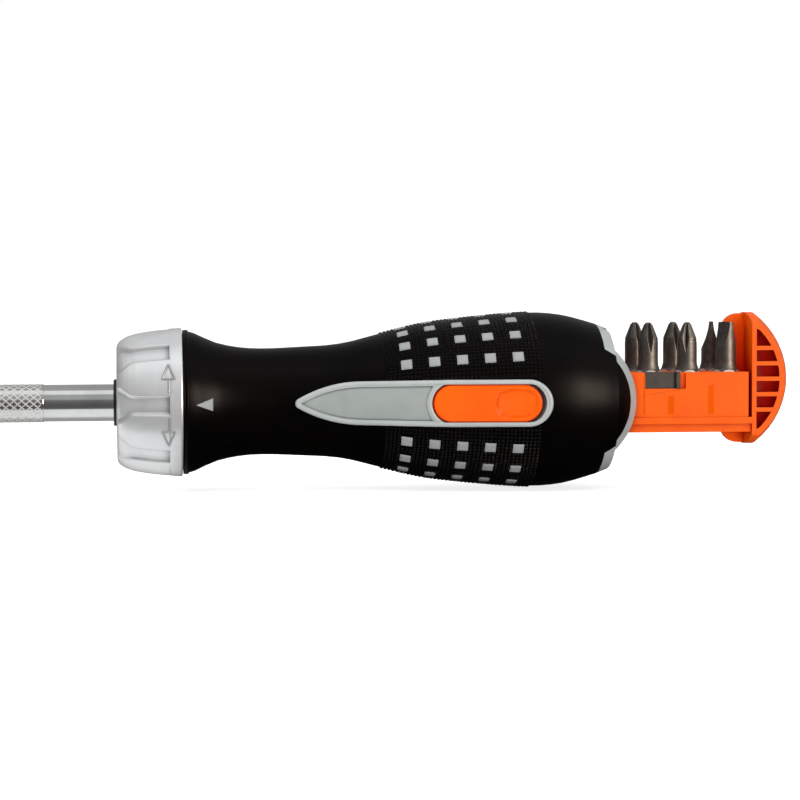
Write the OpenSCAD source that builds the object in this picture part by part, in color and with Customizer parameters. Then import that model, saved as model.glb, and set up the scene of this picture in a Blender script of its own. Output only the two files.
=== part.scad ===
// Ratcheting screwdriver with a bit magazine in its handle, shown with the magazine open.
// X runs along the tool from the socket mouth to the end cap, Z is up along the bits.
// The thumb panel and the release button face -Y. The origin is the centre of the socket mouth.

/* [Blade] */
// Length of shaft in front of the collar
shaft_exposed = 82; // [70:1:120]
// Radius of the shaft
shaft_r = 5; // [4.6:0.1:5.3]
// Radius over the knurled finger zone
knurl_r = 5.15; // [5.1:0.05:5.6]
// Length of the knurled finger zone
knurl_len = 25; // [10:1:32]
// Plain shaft between the knurl and the collar
knurl_gap = 19.7; // [12:0.1:28]
// Bit hexagon, across flats
hex_af = 6.35; // [6:0.05:6.4]
// Depth of the hexagon socket
socket_depth = 12; // [10:0.5:16]
// Radius of the socket magnet
magnet_r = 2.4; // [1.8:0.1:2.8]
// Length of the socket magnet
magnet_len = 3; // [2:0.5:6]
// Chamfer on the shaft's nose
nose_chamfer = 0.8; // [0.3:0.1:1.2]

/* [Selector collar] */
// Length of the selector collar
collar_len = 17.5; // [17.3:0.1:19]
// Radius of the collar's front edge
collar_front_r = 16.6; // [16:0.1:17.5]
// Radius of the collar's rear edge
collar_rear_r = 20.1; // [19.8:0.1:21]
// Length of the plain band at the collar's rear
collar_band = 3.5; // [2:0.1:4]
// Number of finger flutes
flute_count = 8; // [6:1:12]
// Width of a flute
flute_w = 2.2; // [1.2:0.1:3]
// Depth of a flute
flute_depth = 1.1; // [0.5:0.1:1.3]
// Turn of the collar from neutral to each direction
selector_throw = 22; // [12:1:22]
// Radius of the nose bush
bush_r = 6.3; // [6.1:0.1:7]

/* [Ratchet] */
// Radius of the drum that the collar turns on
drum_r = 13; // [12.9:0.1:13.3]
// Number of ratchet teeth
tooth_count = 24; // [24:12:48]
// Radius over the ratchet teeth, as a share of the drum's radius
gear_share = 0.66; // [0.645:0.005:0.67]
// Depth of a ratchet tooth
tooth_depth = 1.1; // [0.8:0.1:1.2]
// Length of the ratchet gear
gear_len = 7.2; // [6.6:0.1:7.2]
// Radius of the stem that holds the ratchet in the handle
stem_r = 10; // [9.6:0.1:10.2]
// Length of the stem, as a share of the handle's
stem_share = 0.1845; // [0.16:0.0005:0.19]

/* [Handle] */
// Length of the handle from its front face to the rim of the magazine bay
handle_len = 113.8; // [112.4:0.2:120]
// Smallest radius of the handle, at the neck
neck_r = 14.4; // [14.1:0.1:15]
// Largest radius of the handle, at the belly
belly_r = 23.4; // [23:0.1:24.5]
// Length of the front lip
lip_len = 1.4; // [1:0.1:2]
// Thickness of the soft skin
skin_t = 1.4; // [1:0.1:1.5]
// Radius of the domed end
dome_r = 22.2; // [21.8:0.1:22.6]
// Distance from the dome's centre back to the rim
dome_back = 12.4; // [12:0.1:12.8]
// Width of the light band at the rim
rim_band = 2.95; // [2:0.05:3.2]
// Half the distance between the soft skin on the two cheeks
cheek_skin_y = 15; // [13.5:0.1:16]
// Side of a grip square
square_w = 2.8; // [2:0.1:4]
// Spacing of the grip squares along the handle
square_pitch = 7.2; // [6:0.1:7.6]
// Columns of grip squares
square_columns = 5; // [3:1:5]
// Rows of grip squares
square_rows = 17; // [9:2:19]

/* [Panel and button] */
// Length of the panel
panel_len = 66.1; // [65:0.1:67]
// Half height of the panel
panel_half = 6; // [5.8:0.1:6.4]
// Width of the panel's rim
panel_rim = 1.3; // [0.8:0.1:1.5]
// Height that the panel stands proud of the skin
panel_proud = 0.35; // [0.1:0.05:0.6]
// Depth of the bare recess in the panel
plate_depth = 0.5; // [0.2:0.1:0.8]
// Length of the release button
button_len = 28.2; // [27:0.1:28.4]
// Height of the release button
button_h = 10; // [9:0.1:10.2]
// Thickness of the button's shell
button_t = 3.2; // [2.6:0.1:3.4]

/* [Magazine] */
// Travel of the magazine along the tool
mag_travel = 38.5; // [35:0.5:39]
// Rise of the magazine over its travel
mag_lift = 5.3; // [4.5:0.1:5.4]
// Width of the bay between the cheeks
bay_w = 20; // [19.8:0.1:20.4]
// Radius of the round bay inside the rim
bay_r = 18.3; // [18.1:0.1:18.4]
// Clearance between the magazine and each side of the bay
mag_clear = 0.7; // [0.6:0.05:0.8]
// Height of the tray
tray_h = 16; // [15:0.1:16.4]
// Spacing of the bits along the tray
bit_pitch = 10.4; // [9.6:0.1:10.6]
// Spacing of the two rows of bits
row_pitch = 9.4; // [9.2:0.1:9.5]
// Stagger between the two rows
row_stagger = 1.5; // [0:0.1:1.6]
// Length of a bit
bit_len = 25; // [24:0.5:25]
// Radius of a bit's neck
bit_neck_r = 2.6; // [2:0.1:2.7]

/* [Hidden] */
$fn = 64;

// Overrun of a cut past the face that it leaves
over = 1;
// Radial running clearance of a shaft or pin in its bore
run_fit = 0.05;
// Gap between pieces that move past each other
gap = 0.3;
// Radial clearance of a piece that is fixed in its seat
seat_fit = 0.03;

// Collar, bush and cover, from the front
collar_x = shaft_exposed;
collar_end = collar_x + collar_len;
collar_wall = 1.6;
collar_chamfer = 0.3;
flute_flare_share = 2;
bush_front = 0.9;
bush_flange_len = 0.8;
bush_flange_r = 7.6;
stack_gap = 0.1;
cover_len = 1.8;
bush_x = collar_x - bush_front;
bush_flange_x = collar_x + collar_wall + stack_gap;
cover_x = bush_flange_x + bush_flange_len + stack_gap;

// The ratchet is laid out for a drum of this radius, and follows the drum's own
layout_r = 13;
mech = drum_r / layout_r;

// Drum, chamber and web of the ratchet housing
gear_r = gear_share * drum_r;
drum_x = cover_x + cover_len;
gear_x = drum_x + gap;
chamber_len = gear_len + 2 * gap;
web_x = drum_x + chamber_len;
web_len = 8.6;
web_end = web_x + web_len;
chamber_r = gear_r + gap;
roof_t = 0.7;
roof_r = drum_r - roof_t;
stem_bore_r = 6.6;
key_w = 2.4;
key_h = 1.1;
key_count = 4;

// Handle stations
handle_x = collar_end + gap;
grip_x = handle_x + lip_len;
grip_len = handle_len - lip_len;
rim_x = handle_x + handle_len;
dome_x = rim_x - dome_back;
skin_end = rim_x - rim_band;
stem_end = handle_x + stem_share * handle_len;

// Shaft's nose, the tool relief at the knurl's front, and its end inside the housing
relief_len = 1.3;
relief_r = 4.6;
socket_clear = 0.05;
socket_af = hex_af + 2 * socket_clear;
seat_af = 8;
journal_r = 3.9;
groove_r = 3.3;
washer_len = 0.8;
washer_r = 6;
clip_len = 0.8;
clip_r = 5.6;
clip_mouth = 5.2;
shaft_tail = 2;
washer_x = web_end + run_fit;
clip_x = washer_x + washer_len + run_fit;
shaft_end = clip_x + clip_len + shaft_tail;

// Pawls, drawn round the gear's axis with u across and v towards the gap between two teeth
pivot_u = 6 * mech;
pivot_v = 9 * mech;
pawl_hub_r = 1.5 * mech;
pawl_pin_r = 0.75 * mech;
pawl_tip_gap = 0.12;
pawl_tip_half = 0.1;
pawl_back = 10.6 * mech;
pawl_nose_half = 1.6 * mech;
pawl_len = gear_len - 2 * gap;
pawl_x = gear_x + gap;
pawl_lift = 11;
tail_r = 1 * mech;
tail_reach = 13.1 * mech;
tail_angle = 150;
pawl_spring_r = 0.9 * mech;
pawl_spring_wire = 0.18;
short_turns = 4;
pawl_spring_seat = 9.4 * mech;
pawl_seat_r = 1.25 * mech;
pawl_pin_bite = 1;
pawl_pin_len = chamber_len + pawl_pin_bite;
nose_flank_share = 0.7;
// Share of a tooth's pitch from the gap's middle, then share of its depth
tooth_shares = [[0.07, 0], [0.39, 1], [0.61, 1], [0.93, 0]];
screw_pcd_r = 10.9 * mech;
screw_r = 0.8 * mech;
screw_head_r = 1.5 * mech;
screw_len = 6;
screw_socket_af = 0.8;
screw_socket_depth = 0.8;
screw_angles = [0, 52, 308];

// Collar bore, cam, detent and snap ring
cam_r = 14.6 * mech;
cam_len = 5.4;
tail_len = 4.6;
lobe_r = 13.4 * mech;
lobe_half = 2.5;
step_h = 0.1;
ball_r = 1.1;
ball_back = 3;
ball_out = 0.45;
ball_x = web_x + ball_back;
ball_y = drum_r + ball_out - ball_r;
detent_bore_r = ball_r + run_fit;
detent_groove_r = drum_r + ball_out + stack_gap;
detent_dimple = 0.3;
detent_depth = 5.4;
detent_spring_r = 0.8;
detent_w = 2.8;
detent_spare = 6;
snap_wire = 0.5;
snap_back = 0.8;
snap_x = web_x + snap_back;
snap_mouth = 40;
pin_r = 1.5;
pin_back = 14;
pin_x = handle_x + pin_back;

// Outline of the handle: share of the grip's length, then share from the neck's to the belly's radius
grip_shares = [
    [0, 0.567], [0.028, 0.389], [0.077, 0.144], [0.154, 0], [0.27, 0.033], [0.366, 0.122],
    [0.462, 0.411], [0.558, 0.689], [0.674, 0.867], [0.817, 1], [0.894, 0.928], [0.974, 0.656], [1, 0.528]
];
// Outline of the collar: share of its length to the band, then share from its front to its rear radius
collar_shares = [
    [0, -0.17], [0.02, 0.03], [0.06, 0.16], [0.12, 0.3], [0.22, 0.5], [0.37, 0.66], [0.52, 0.77],
    [0.7, 0.85], [0.85, 0.9], [1, 0.93]
];
profile_step = 3;
// Turn of the dome's outline per facet, in degrees
dome_step = 6;
// Lead-in chamfer on the cheeks where the cap sits between them
lead_y = 12.5;
lead_slope_share = 0.55;

// Panel, recess and pointer
panel_back = 18.2;
panel_x1 = rim_x - panel_back;
panel_x0 = panel_x1 - panel_len;
ogive_r = 34;
panel_taper = 0.4;
panel_taper_len = 22;
panel_tip_r = 1.2;
panel_root = 8;
ogive_half = panel_half - panel_taper;
ogive_drop = ogive_r - ogive_half;
ogive_reach = sqrt(pow(ogive_r - panel_tip_r, 2) - pow(ogive_drop, 2));
panel_tip_x = panel_x0 + panel_tip_r;
ogive_x = panel_tip_x + ogive_reach;
panel_cut_x = panel_tip_x - panel_tip_r * ogive_reach / (ogive_r - panel_tip_r);
panel_end_x = panel_x1 - panel_half;
recess_wall = 1.6;
pointer_len = 4.5;
pointer_w = 3.4;
pointer_back = 1.7;
pointer_x = grip_x + pointer_back;
pointer_root = 12;

// Grip squares, counted from the panel's centre line round the handle
square_front = 57.1;
square_x = grip_x + square_front;
square_root = 3;
square_free = 31.5;
square_turn = (360 - 2 * square_free) / (square_rows - 1);

// Release button and its pocket
button_rear_gap = 1;
button_side_gap = 0.35;
button_wall = 1.5;
button_off = 0.15;
button_x1 = panel_x1 - button_wall - button_rear_gap;
button_x0 = button_x1 - button_len;
button_r = button_h / 2;
pocket_floor = 14.6;
pivot_back = 4;
pivot_x = button_x0 + pivot_back;
pivot_y = 17.1;
pivot_boss_r = 2;
boss_half = 4;
button_pin_r = 1;
button_pin_cover = 0.8;
dish_back = 7.4;
dish_depth = 0.6;
dish_r = 19.5;
dish_x = button_x1 - dish_back;
plunger_back = 6.4;
plunger_x = button_x1 - plunger_back;
plunger_r = 1.3;
plunger_end = 10.6;
plunger_root = 1;
plunger_hole_r = 2.1;
button_spring_back = 15.4;
button_spring_x = button_x1 - button_spring_back;
button_spring_r = 1.6;
button_spring_wire = 0.25;

// Magazine, with its places given where it stands closed
mag_incline = atan(mag_lift / mag_travel);
tray_back = 46.1;
tray_inset = 1.95;
tray_x0 = rim_x - tray_back;
tray_x1 = rim_x - tray_inset;
tray_half = bay_w / 2 - mag_clear;
tray_top = 1.9;
tray_bottom = tray_top - tray_h;
keel_h = 4;
keel_inset = 0.6;
rail_h = 1.8;
rail_out = 0.4;
ledge_z = tray_bottom + keel_h;
cap_slit = 0.85;
cap_plate_x = tray_x1 + cap_slit;
cap_plate_t = 1.2;
// Radius of the cap's plate, inside the round bay
cap_nest_gap = 0.6;
cap_r = bay_r - cap_nest_gap;
cap_dome_x = dome_x + sqrt(pow(dome_r, 2) - pow(cap_r, 2));
cap_side_gap = 0.55;
cap_half = bay_w / 2 - cap_side_gap;
cap_wall = 1.35;
cap_rib = 1.15;
cap_rib_pitch = 4.1;
cap_ribs = 5;
cap_web_half = 4.4;
tongue_half = 0.9;
tongue_len = 5.9;
tongue_reach = 17.4;
tongue_corner = 4.4;
tongue_bite = 0.6;
tongue_x = cap_plate_x - tongue_len;
bay_spare = 0.6;
bay_front_gap = 3;
bay_x = tray_x0 - bay_front_gap;
bay_step = 13.5;
bay_round_x = tray_x0 + bay_step;
bay_top = tray_top + mag_lift + bay_spare;
runner_len = 7;
runner_h = 2;
runner_out = 1.9;
runner_drop = 5;
runner_x = tray_x0 + runner_len / 2 + bay_spare;
track_gap = 0.15;
tail_pocket_half = 7.4;
tail_pocket_floor = 2;
tail_wall = 2.4;
// Share of the bits' spacing to each side of a pocket in the tray's underside
under_share = 0.4;
under_depth = 2;

// Bits and their pockets
bit_back = 27.7;
bit_x0 = rim_x - bit_back;
bit_stand = 13.2;
bit_seat_z = tray_top + bit_stand - bit_len;
bit_count = 3;
pocket_af = hex_af + 2 * socket_clear;
hex_len = 12.4;
hex_chamfer = 0.4;
bit_corner_r = 3.55;
bit_tip_r = 0.8;
bit_cone_len = 5.2;
bit_flare_len = 1.9;
bit_flare_out = 0.3;
bit_flare_share = 0.33;
bit_root_step = 0.05;
bit_root_r = hex_af / 2 - bit_root_step;
bit_tip_round = 0.1;
flute_len = 8.3;
flute_web = 0.6;
pozi_rib = 0.5;
pozi_rib_reach = 1.25;
blade_w = 4.3;
blade_t = 1.1;
blade_len = 7;
blade_mid_share = 0.45;
blade_mid_t = 1.9;
relief_clear = 0.35;

// Latch leaf on the tray's side
latch_x_gap = 1.9;
latch_x = bit_x0 - latch_x_gap;
latch_len = 9.25;
latch_t = 0.5;
latch_h = 4.3;
latch_notch = 0.8;
latch_notch_len = 10.9;
latch_barb = 1;
latch_barb_out = 0.8;
latch_proud = 0.1;

// Eject spring, on a line through the tray's tail along the magazine's travel
spring_low = 1.5;
eject_r = 2.5;
eject_wire = 0.35;
eject_turns = 22;
eject_bore_r = 3.2;
eject_seat_wall = 5.2;
eject_back = tray_x0 - stem_end - eject_seat_wall;
guide_r = 1.6;
guide_bite = 2;
guide_short = 3.5;
guide_len = eject_back - guide_short;

// Turns a profile of [radius, x] points about the tool's axis
module revolve_x(points) {
    rotate([0, 90, 0]) rotate_extrude() polygon(points);
}

// A bar along X from x0 to x1
module bar_x(r, x0, x1) {
    translate([x0, 0, 0]) rotate([0, 90, 0]) cylinder(r = r, h = x1 - x0);
}

// A box from x0 to x1, half_y to each side, z0 to z1
module box_x(x0, x1, half_y, z0, z1) {
    translate([x0, -half_y, z0]) cube([x1 - x0, 2 * half_y, z1 - z0]);
}

// Extrudes a plan of [y, z] along X
module plan_x(x0, x1) {
    translate([x0, 0, 0]) rotate([90, 0, 90]) linear_extrude(x1 - x0) children();
}

// Extrudes a plan of [x, z] towards -Y from depth y0 to y1
module plan_y(y0, y1) {
    translate([0, -y0, 0]) rotate([90, 0, 0]) linear_extrude(y1 - y0) children();
}

// Puts a piece that is drawn along Z onto the line of the magazine's travel through the tray's tail
module along_travel(distance) {
    rotate_turn = 90 - mag_incline;
    translate([tray_x0, 0, -spring_low]) rotate([0, rotate_turn, 0]) translate([0, 0, distance]) children();
}

// Moves the magazine's pieces from closed to open
module opened() {
    translate([mag_travel, 0, mag_lift]) children();
}

// One unbroken wire wound round Z from 0 to its length
module coil(length, coil_r, wire_r, turns, rings = 8, sides = 6) {
    steps = turns * rings;
    climb = length - 2 * wire_r;
    pitch = atan(climb / (turns * 2 * PI * coil_r));
    points = [
        for (k = [0:steps], s = [0:sides - 1])
            let (a = 360 * k / rings, b = 360 * s / sides)
            [
                (coil_r + wire_r * cos(b)) * cos(a) + wire_r * sin(b) * sin(pitch) * sin(a),
                (coil_r + wire_r * cos(b)) * sin(a) - wire_r * sin(b) * sin(pitch) * cos(a),
                wire_r + climb * k / steps + wire_r * sin(b) * cos(pitch)
            ]
    ];
    walls = [
        for (k = [0:steps - 1], s = [0:sides - 1])
            let (i = k * sides + s, j = k * sides + (s + 1) % sides)
            each [[i, j, j + sides], [i, j + sides, i + sides]]
    ];
    last = steps * sides;
    ends = [for (s = [1:sides - 2]) each [[0, s + 1, s], [last, last + s, last + s + 1]]];
    polyhedron(points, concat(walls, ends), convexity = sides);
}

// Outline of the handle
function grip_station(i) = [
    grip_x + grip_shares[i][0] * grip_len,
    neck_r + grip_shares[i][1] * (belly_r - neck_r)
];
function grip_slope(i) =
    let (a = grip_station(max(i - 1, 0)), b = grip_station(min(i + 1, len(grip_shares) - 1)))
    (b[1] - a[1]) / (b[0] - a[0]);
function grip_segment(x, i = 0) =
    i >= len(grip_shares) - 2 || x < grip_station(i + 1)[0] ? i : grip_segment(x, i + 1);
// Radius of the handle at x, a cubic curve through its stations
function grip_r(x) =
    let (
        i = grip_segment(x), a = grip_station(i), b = grip_station(i + 1), h = b[0] - a[0],
        t = max(0, (x - a[0]) / h)
    )
    a[1] * (1 + 2 * t) * pow(1 - t, 2) + h * grip_slope(i) * t * pow(1 - t, 2)
    + b[1] * t * t * (3 - 2 * t) - h * grip_slope(i + 1) * t * t * (1 - t);
function grip_outline(out, x0, x1) =
    let (n = ceil((x1 - x0) / profile_step))
    [for (k = [0:n]) let (x = x0 + (x1 - x0) * k / n) [grip_r(x) + out, x]];

// The solid inside the handle's outline, moved out by a step
module grip_solid(out, x0, x1) {
    revolve_x(concat([[0, x0]], grip_outline(out, x0, x1), [[0, x1]]));
}

// A shell that follows the handle's outline between two steps
module grip_band(low, high, x0, x1) {
    inner = grip_outline(low, x0, x1);
    revolve_x(concat(
        grip_outline(high, x0, x1),
        [for (k = [len(inner) - 1:-1:0]) inner[k]]
    ));
}

// Outline of the domed end from x0 to its pole
function dome_outline(out, x0) =
    let (r = dome_r + out, a = acos((x0 - dome_x) / r), n = ceil(a / dome_step))
    [for (k = [n:-1:0]) let (b = a * k / n) [r * sin(b), dome_x + r * cos(b)]];

// The handle without its slot, and moved in by the skin what the skin is moulded over
module handle_solid(out, x0) {
    revolve_x(concat([[0, x0]], grip_outline(out, x0, rim_x), dome_outline(out, rim_x)));
}

module under_skin() {
    handle_solid(-skin_t, handle_x);
}

// The rear end where the hard core shows between the cheeks' skins
module rim_zone() {
    box_x(skin_end, dome_x + 2 * dome_r, cheek_skin_y, -2 * dome_r, 2 * dome_r);
}

module panel_plan(inset) {
    half = panel_half - inset;
    intersection() {
        translate([ogive_x, -ogive_drop]) circle(ogive_r - inset);
        translate([ogive_x, ogive_drop]) circle(ogive_r - inset);
        translate([panel_cut_x, -panel_half]) square([ogive_x - panel_cut_x, 2 * panel_half]);
    }
    if (inset < panel_tip_r) {
        translate([panel_tip_x, 0]) circle(panel_tip_r - inset);
    }
    polygon([
        [ogive_x, inset - ogive_half], [ogive_x + panel_taper_len, -half], [panel_end_x, -half],
        [panel_end_x, half], [ogive_x + panel_taper_len, half], [ogive_x, ogive_half - inset]
    ]);
    translate([panel_end_x, 0]) circle(half);
}

// The bare recess, which ends in a hollow arc round the button's front end
module recess_plan() {
    difference() {
        panel_plan(panel_rim);
        translate([button_x0 + button_r, 0]) circle(button_r + recess_wall);
        translate([button_x0 + button_r, -panel_half]) square([panel_len, 2 * panel_half]);
    }
}

module button_plan(front, side, rear) {
    r = button_r + side;
    translate([button_x0 - front + r, 0]) circle(r);
    translate([button_x0 - front + r, -r]) square([button_len + front + rear - 2 * r, 2 * r]);
    translate([button_x1 + rear - r, 0]) circle(r);
}

module pointer_plan() {
    polygon([
        [pointer_x, 0], [pointer_x + pointer_len, -pointer_w / 2], [pointer_x + pointer_len, pointer_w / 2]
    ]);
}

// Square bars that stand out through the skin in rows round the handle
module square_bars() {
    for (c = [0:square_columns - 1], r = [0:square_rows - 1]) {
        x = square_x + c * square_pitch;
        root = grip_r(x) - skin_t - square_root;
        rotate([square_free + r * square_turn, 0, 0])
            translate([x - square_w / 2, -root - square_root - skin_t - over, -square_w / 2])
                cube([square_w, square_root + skin_t + over, square_w]);
    }
}

// The channels that the bit tips clear as the magazine rises
module tip_reliefs() {
    top = relief_clear + bit_tip_r;
    low = bit_neck_r + relief_clear;
    len_x = (rim_x - bit_x0 + bit_pitch) / cos(mag_incline);
    for (side = [-1, 1])
        translate([bit_x0, side * row_pitch / 2, tray_top + bit_stand]) rotate([0, -mag_incline, 0])
            plan_x(0, len_x) polygon([
                [-top, relief_clear], [top, relief_clear], [low, -bit_cone_len], [-low, -bit_cone_len]
            ]);
}

module magazine_bay() {
    intersection() {
        bar_x(bay_r, bay_round_x, rim_x + over);
        box_x(bay_round_x, rim_x + over, bay_w / 2, -bay_r, bay_r);
    }
    box_x(bay_x, bay_round_x + over, bay_w / 2, tray_bottom - bay_spare, bay_top);
    box_x(rim_x, dome_x + 2 * dome_r, bay_w / 2, -2 * dome_r, 2 * dome_r);
    tip_reliefs();
}

// Chamfer round the inner edge of each cheek, behind the rim
module cheek_lead() {
    edge = sqrt(pow(dome_r, 2) - pow(lead_y, 2));
    fall = lead_slope_share * (lead_y - bay_w / 2);
    intersection() {
        for (side = [0, 1]) mirror([0, side, 0])
            translate([dome_x, 0, 0]) rotate([-90, 0, 0]) rotate_extrude() polygon([
                [edge - fall, bay_w / 2], [edge, lead_y], [2 * dome_r, lead_y], [2 * dome_r, 0],
                [edge - fall, 0]
            ]);
        box_x(rim_x, dome_x + 2 * dome_r, 2 * dome_r, -2 * dome_r, 2 * dome_r);
    }
}

// Inclined tracks in the bay's sides for the tray's runners
module runner_tracks() {
    reach = tray_half + runner_out + gap;
    len_x = runner_len + mag_travel / cos(mag_incline) + 2 * gap;
    translate([runner_x, 0, -runner_drop]) rotate([0, -mag_incline, 0])
        box_x(
            -runner_len / 2 - gap, len_x - runner_len / 2 - gap, reach,
            -runner_h / 2 - track_gap, runner_h / 2 + track_gap
        );
}

module stem_plan(out) {
    circle(stem_r + out);
    for (k = [0:key_count - 1]) rotate(360 * k / key_count + 180 / key_count)
        translate([0, -key_w / 2 - out]) square([stem_r + key_h + out, key_w + 2 * out]);
}

module handle_core() color("silver") {
    difference() {
        union() {
            under_skin();
            intersection() {
                handle_solid(0, skin_end);
                rim_zone();
            }
            intersection() {
                grip_solid(0, square_x - square_w, square_x + square_columns * square_pitch);
                square_bars();
            }
            intersection() {
                grip_solid(panel_proud, panel_x0 - panel_proud, panel_x1 + panel_proud);
                plan_y(panel_root, belly_r + over) panel_plan(0);
            }
            intersection() {
                grip_solid(0, grip_x, pointer_x + pointer_len + over);
                plan_y(pointer_root, belly_r + over) pointer_plan();
            }
        }
        plan_x(handle_x - over, stem_end + gap) stem_plan(seat_fit);
        intersection() {
            grip_band(panel_proud - plate_depth, panel_proud + over, panel_x0, panel_x1);
            plan_y(panel_root, belly_r + 2 * over) recess_plan();
        }
        plan_y(pocket_floor, belly_r + 2 * over) button_plan(gap, button_side_gap, button_rear_gap);
        translate([plunger_x, -bay_w / 2 + over, 0]) rotate([90, 0, 0])
            cylinder(r = plunger_hole_r, h = pocket_floor - bay_w / 2 + 2 * over);
        translate([pivot_x, -pivot_y, -button_pin_half()])
            cylinder(r = button_pin_r, h = 2 * button_pin_half());
        magazine_bay();
        cheek_lead();
        runner_tracks();
        along_travel(-eject_back) cylinder(r = eject_bore_r, h = eject_back);
        along_travel(-eject_back - guide_bite) cylinder(r = guide_r, h = eject_back);
        translate([pin_x, -grip_r(pin_x), 0]) rotate([-90, 0, 0])
            cylinder(r = pin_r, h = 2 * grip_r(pin_x));
    }
}

module grip_overmold() color("#1c1c1e") {
    difference() {
        handle_solid(0, handle_x);
        under_skin();
        rim_zone();
        square_bars();
        plan_y(panel_root, belly_r + over) panel_plan(0);
        plan_y(pointer_root, belly_r + over) pointer_plan();
        tip_reliefs();
    }
}

// Blade
module hexagon(af, x0, x1) {
    translate([x0, 0, 0]) rotate([0, 90, 0]) cylinder(r = af / 2 / cos(30), h = x1 - x0, $fn = 6);
}

module blade_shaft() color("#c9ccd0") {
    knurl_x1 = collar_x - knurl_gap;
    knurl_x0 = knurl_x1 - knurl_len;
    difference() {
        union() {
            revolve_x([
                [0, 0], [shaft_r - nose_chamfer, 0], [shaft_r, nose_chamfer],
                [shaft_r, knurl_x0 - relief_len], [relief_r, knurl_x0 - relief_len],
                [relief_r, knurl_x0], [shaft_r, knurl_x0], [knurl_r, knurl_x0 + knurl_r - shaft_r],
                [knurl_r, knurl_x1 - knurl_r + shaft_r], [shaft_r, knurl_x1],
                [shaft_r, gear_x], [0, gear_x]
            ]);
            hexagon(seat_af, gear_x, gear_x + gear_len);
            revolve_x([
                [0, gear_x + gear_len], [journal_r, gear_x + gear_len], [journal_r, clip_x],
                [groove_r, clip_x], [groove_r, clip_x + clip_len], [journal_r, clip_x + clip_len],
                [journal_r, shaft_end], [0, shaft_end]
            ]);
        }
        hexagon(socket_af, -over, socket_depth);
        revolve_x([
            [0, -over], [socket_af / 2 + nose_chamfer + over, -over],
            [socket_af / 2, nose_chamfer], [0, nose_chamfer]
        ]);
        bar_x(magnet_r, socket_depth, socket_depth + magnet_len);
    }
}

module socket_magnet() color("#8d9094") {
    bar_x(magnet_r - seat_fit, socket_depth + seat_fit, socket_depth + magnet_len);
}

module nose_bush() color("#202022") {
    difference() {
        union() {
            bar_x(bush_r, bush_x, cover_x);
            bar_x(bush_flange_r, bush_flange_x, cover_x);
        }
        bar_x(shaft_r + run_fit, bush_x - over, cover_x + over);
    }
}

// Direction ring
function collar_r(share) = collar_front_r + share * (collar_rear_r - collar_front_r);

module collar_blank() {
    band_x = collar_end - collar_band;
    revolve_x(concat(
        [[0, collar_x]],
        [for (p = collar_shares) [collar_r(p[1]), collar_x + p[0] * (band_x - collar_x)]],
        [
            [collar_r(collar_shares[len(collar_shares) - 1][1]) + step_h, band_x + step_h],
            [collar_rear_r, collar_end - collar_chamfer], [collar_rear_r - collar_chamfer, collar_end],
            [0, collar_end]
        ]
    ));
}

// One finger flute on the +Z side, widening to a V at the collar's front
module finger_flute() {
    length = collar_len - collar_band;
    rise = collar_r(1) - collar_front_r - flute_depth;
    flare = flute_flare_share * flute_w;
    translate([collar_x, 0, collar_front_r - flute_depth]) rotate([0, -atan(rise / length), 0])
        linear_extrude(collar_rear_r) polygon([
            [-over, -flare], [0, -flare], [flare, -flute_w / 2], [length, -flute_w / 2],
            [length, flute_w / 2], [flare, flute_w / 2], [0, flare], [-over, flare]
        ]);
}

// Ring sector with its middle at an angle from +Y, drawn as a plan of [y, z]
module sector_plan(r0, r1, middle, half) {
    rotate(middle) difference() {
        circle(r1);
        circle(r0);
        rotate(half) translate([-2 * r1, 0]) square([4 * r1, 2 * r1]);
        rotate(-half) translate([-2 * r1, -2 * r1]) square([4 * r1, 2 * r1]);
    }
}

module selector_collar() color("#b9bcbf") {
    cam_x = pawl_x + (pawl_len - cam_len) / 2;
    detent_x = ball_x - detent_w / 2;
    difference() {
        collar_blank();
        bar_x(bush_r + run_fit, collar_x - over, collar_x + collar_wall + over);
        bar_x(drum_r + run_fit, collar_x + collar_wall, collar_end + over);
        for (k = [0:flute_count - 1])
            rotate([90 + k * 360 / flute_count, 0, 0]) finger_flute();
        plan_x(cam_x, cam_x + cam_len) difference() {
            circle(cam_r);
            sector_plan(lobe_r, cam_r + over, 180, lobe_half);
            circle(drum_r - over);
        }
        plan_x(detent_x, detent_x + detent_w)
            sector_plan(drum_r - over, detent_groove_r, 0, selector_throw + detent_spare);
        for (turn = [-selector_throw, 0, selector_throw])
            rotate([turn, 0, 0]) translate([ball_x, ball_y + detent_dimple, 0])
                rotate([-90, 0, 0]) cylinder(r = ball_r, h = ball_r);
        bar_x(drum_r + snap_wire + stack_gap, snap_x - snap_wire - run_fit, snap_x + snap_wire + run_fit);
    }
}

module nose_ring(r, wire, x, mouth) {
    translate([x, 0, 0]) rotate([0, 90, 0]) rotate([0, 0, mouth / 2])
        rotate_extrude(angle = 360 - mouth) translate([r, 0]) circle(wire);
}

module collar_snap_ring() color("#6f7276") {
    nose_ring(drum_r, snap_wire, snap_x, snap_mouth);
}

// Pawl chamber
module about_pivot(turn) {
    translate([-pivot_u, pivot_v]) rotate(turn) translate([pivot_u, -pivot_v]) children();
}

module tail_plan(out) {
    end_u = tail_reach * cos(tail_angle);
    end_v = tail_reach * sin(tail_angle);
    reach = norm([end_u + pivot_u, end_v - pivot_v]);
    translate([-pivot_u, pivot_v]) rotate(atan2(end_v - pivot_v, end_u + pivot_u)) {
        translate([0, -tail_r - out]) square([reach, 2 * (tail_r + out)]);
        translate([reach, 0]) circle(tail_r + out);
    }
}

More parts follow.
